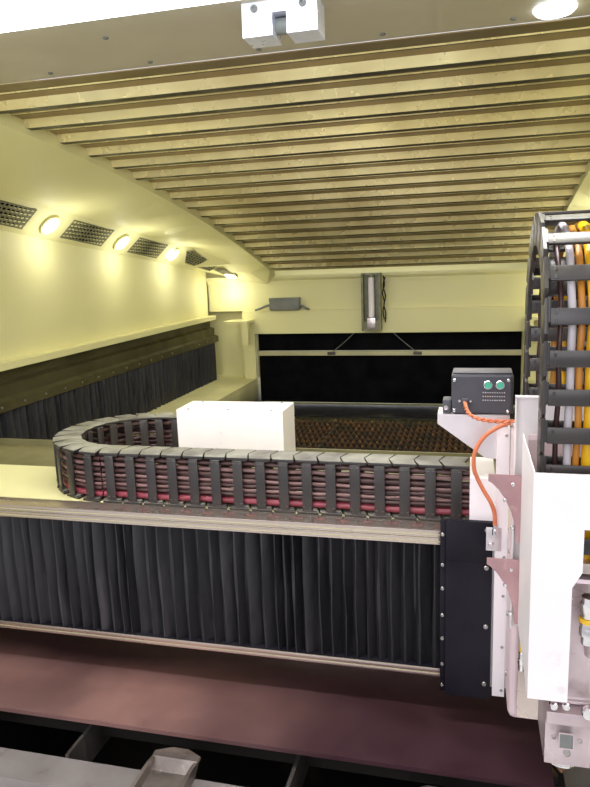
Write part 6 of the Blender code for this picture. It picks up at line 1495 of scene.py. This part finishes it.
stageSettings = {
    "floorTone": (0.86, 0.86, 0.85), "floorRoughness": 0.7, "floorHalf": 30,
    "worldTone": (0.93, 0.95, 1.0), "worldStrength": 0.62, "seenStrength": 1.0,
}

# Area lights: place, aim, size, power in watts, tone
studioLights = {
    "cabinGlow": ((0.1, 0.1, 1.98), (0.1, 0.1, 0.9), (1.3, 2.6), 16, (1.0, 0.97, 0.9)),
    "roofGlow": ((0.1, -0.35, 1.75), (0.1, -0.2, 2.4), (1.2, 0.9), 1.8, (1.0, 0.95, 0.85)),
    "headerGlow": ((0.13, -1.70, 2.32), (0.13, -1.45, 1.0), (1.5, 0.1), 12, (1, 0.98, 0.95)),
    "frontFill": ((-0.2, -4.6, 2.6), (0, -1.2, 1.2), (3.0, 2.0), 50, (0.98, 0.96, 1.0)),
    "sideKey": ((5.0, -2.5, 4.8), (0, 0, 1.2), (4, 4), 210, (1, 1, 1)),
    "backKey": ((-4.5, 5.0, 5.0), (0, 0, 1.2), (4, 4), 210, (1, 1, 1)),
}


def newLight(name, kind, power, tone, matrix):
    lightData = bpy.data.lights.new(name, kind)
    lightData.energy = power
    lightData.color = tone
    light = bpy.data.objects.new(name, lightData)
    light.visible_camera = False
    light.matrix_world = matrix
    bpy.context.scene.collection.objects.link(light)
    return light


def addLight(name, place, aim, size, power, tone):
    turn = (Vector(aim) - Vector(place)).to_track_quat("-Z", "Y").to_matrix().to_4x4()
    light = newLight(name, "AREA", power, tone, Matrix.Translation(place) @ turn)
    light.data.shape = "RECTANGLE"
    light.data.size, light.data.size_y = size


# A small warm glow before each lamp on the ducts
def addLampGlows(power, radius, reach, tone):
    for side in (-1, 1):
        for index, y in enumerate(ductSettings["lamps"]):
            place = Matrix.Translation(facetMatrix(side, y, reach).translation)
            light = newLight("ductLamp" + str(index), "POINT", power, tone, place)
            light.data.shadow_soft_size = radius
            light.visible_glossy = False


def makeFloor(settings):
    bm = bmesh.new()
    bmesh.ops.create_grid(bm, x_segments=2, y_segments=2, size=settings["floorHalf"])
    floorMesh = bpy.data.meshes.new("floor")
    bm.to_mesh(floorMesh)
    bm.free()
    floor = bpy.data.objects.new("floor", floorMesh)
    bpy.context.scene.collection.objects.link(floor)
    material, tree, shader = newMaterial("floorPaint")
    feed(tree, settings["floorTone"], shader.inputs["Base Color"])
    feed(tree, settings["floorRoughness"], shader.inputs["Roughness"])
    floorMesh.materials.append(material)


# The sky lights softly, and is brighter where the camera or a reflection sees it
def makeWorld(settings):
    world = bpy.data.worlds.new("studio")
    bpy.context.scene.world = world
    world.use_nodes = True
    tree = world.node_tree
    background = tree.nodes["Background"]
    feed(tree, settings["worldTone"], background.inputs["Color"])
    rays = tree.nodes.new("ShaderNodeLightPath")
    seen = tree.nodes.new("ShaderNodeMath")
    seen.operation = "MAXIMUM"
    feed(tree, rays.outputs["Is Camera Ray"], seen.inputs[0])
    feed(tree, rays.outputs["Is Glossy Ray"], seen.inputs[1])
    strength = rangeShare(tree, seen.outputs["Value"], 0, 1, settings["worldStrength"],
                          settings["seenStrength"])
    feed(tree, strength, background.inputs["Strength"])


makeFloor(stageSettings)
makeWorld(stageSettings)
addLampGlows(**ductSettings["glow"])
for name, numbers in studioLights.items():
    addLight(name, *numbers)
report("stage lit")
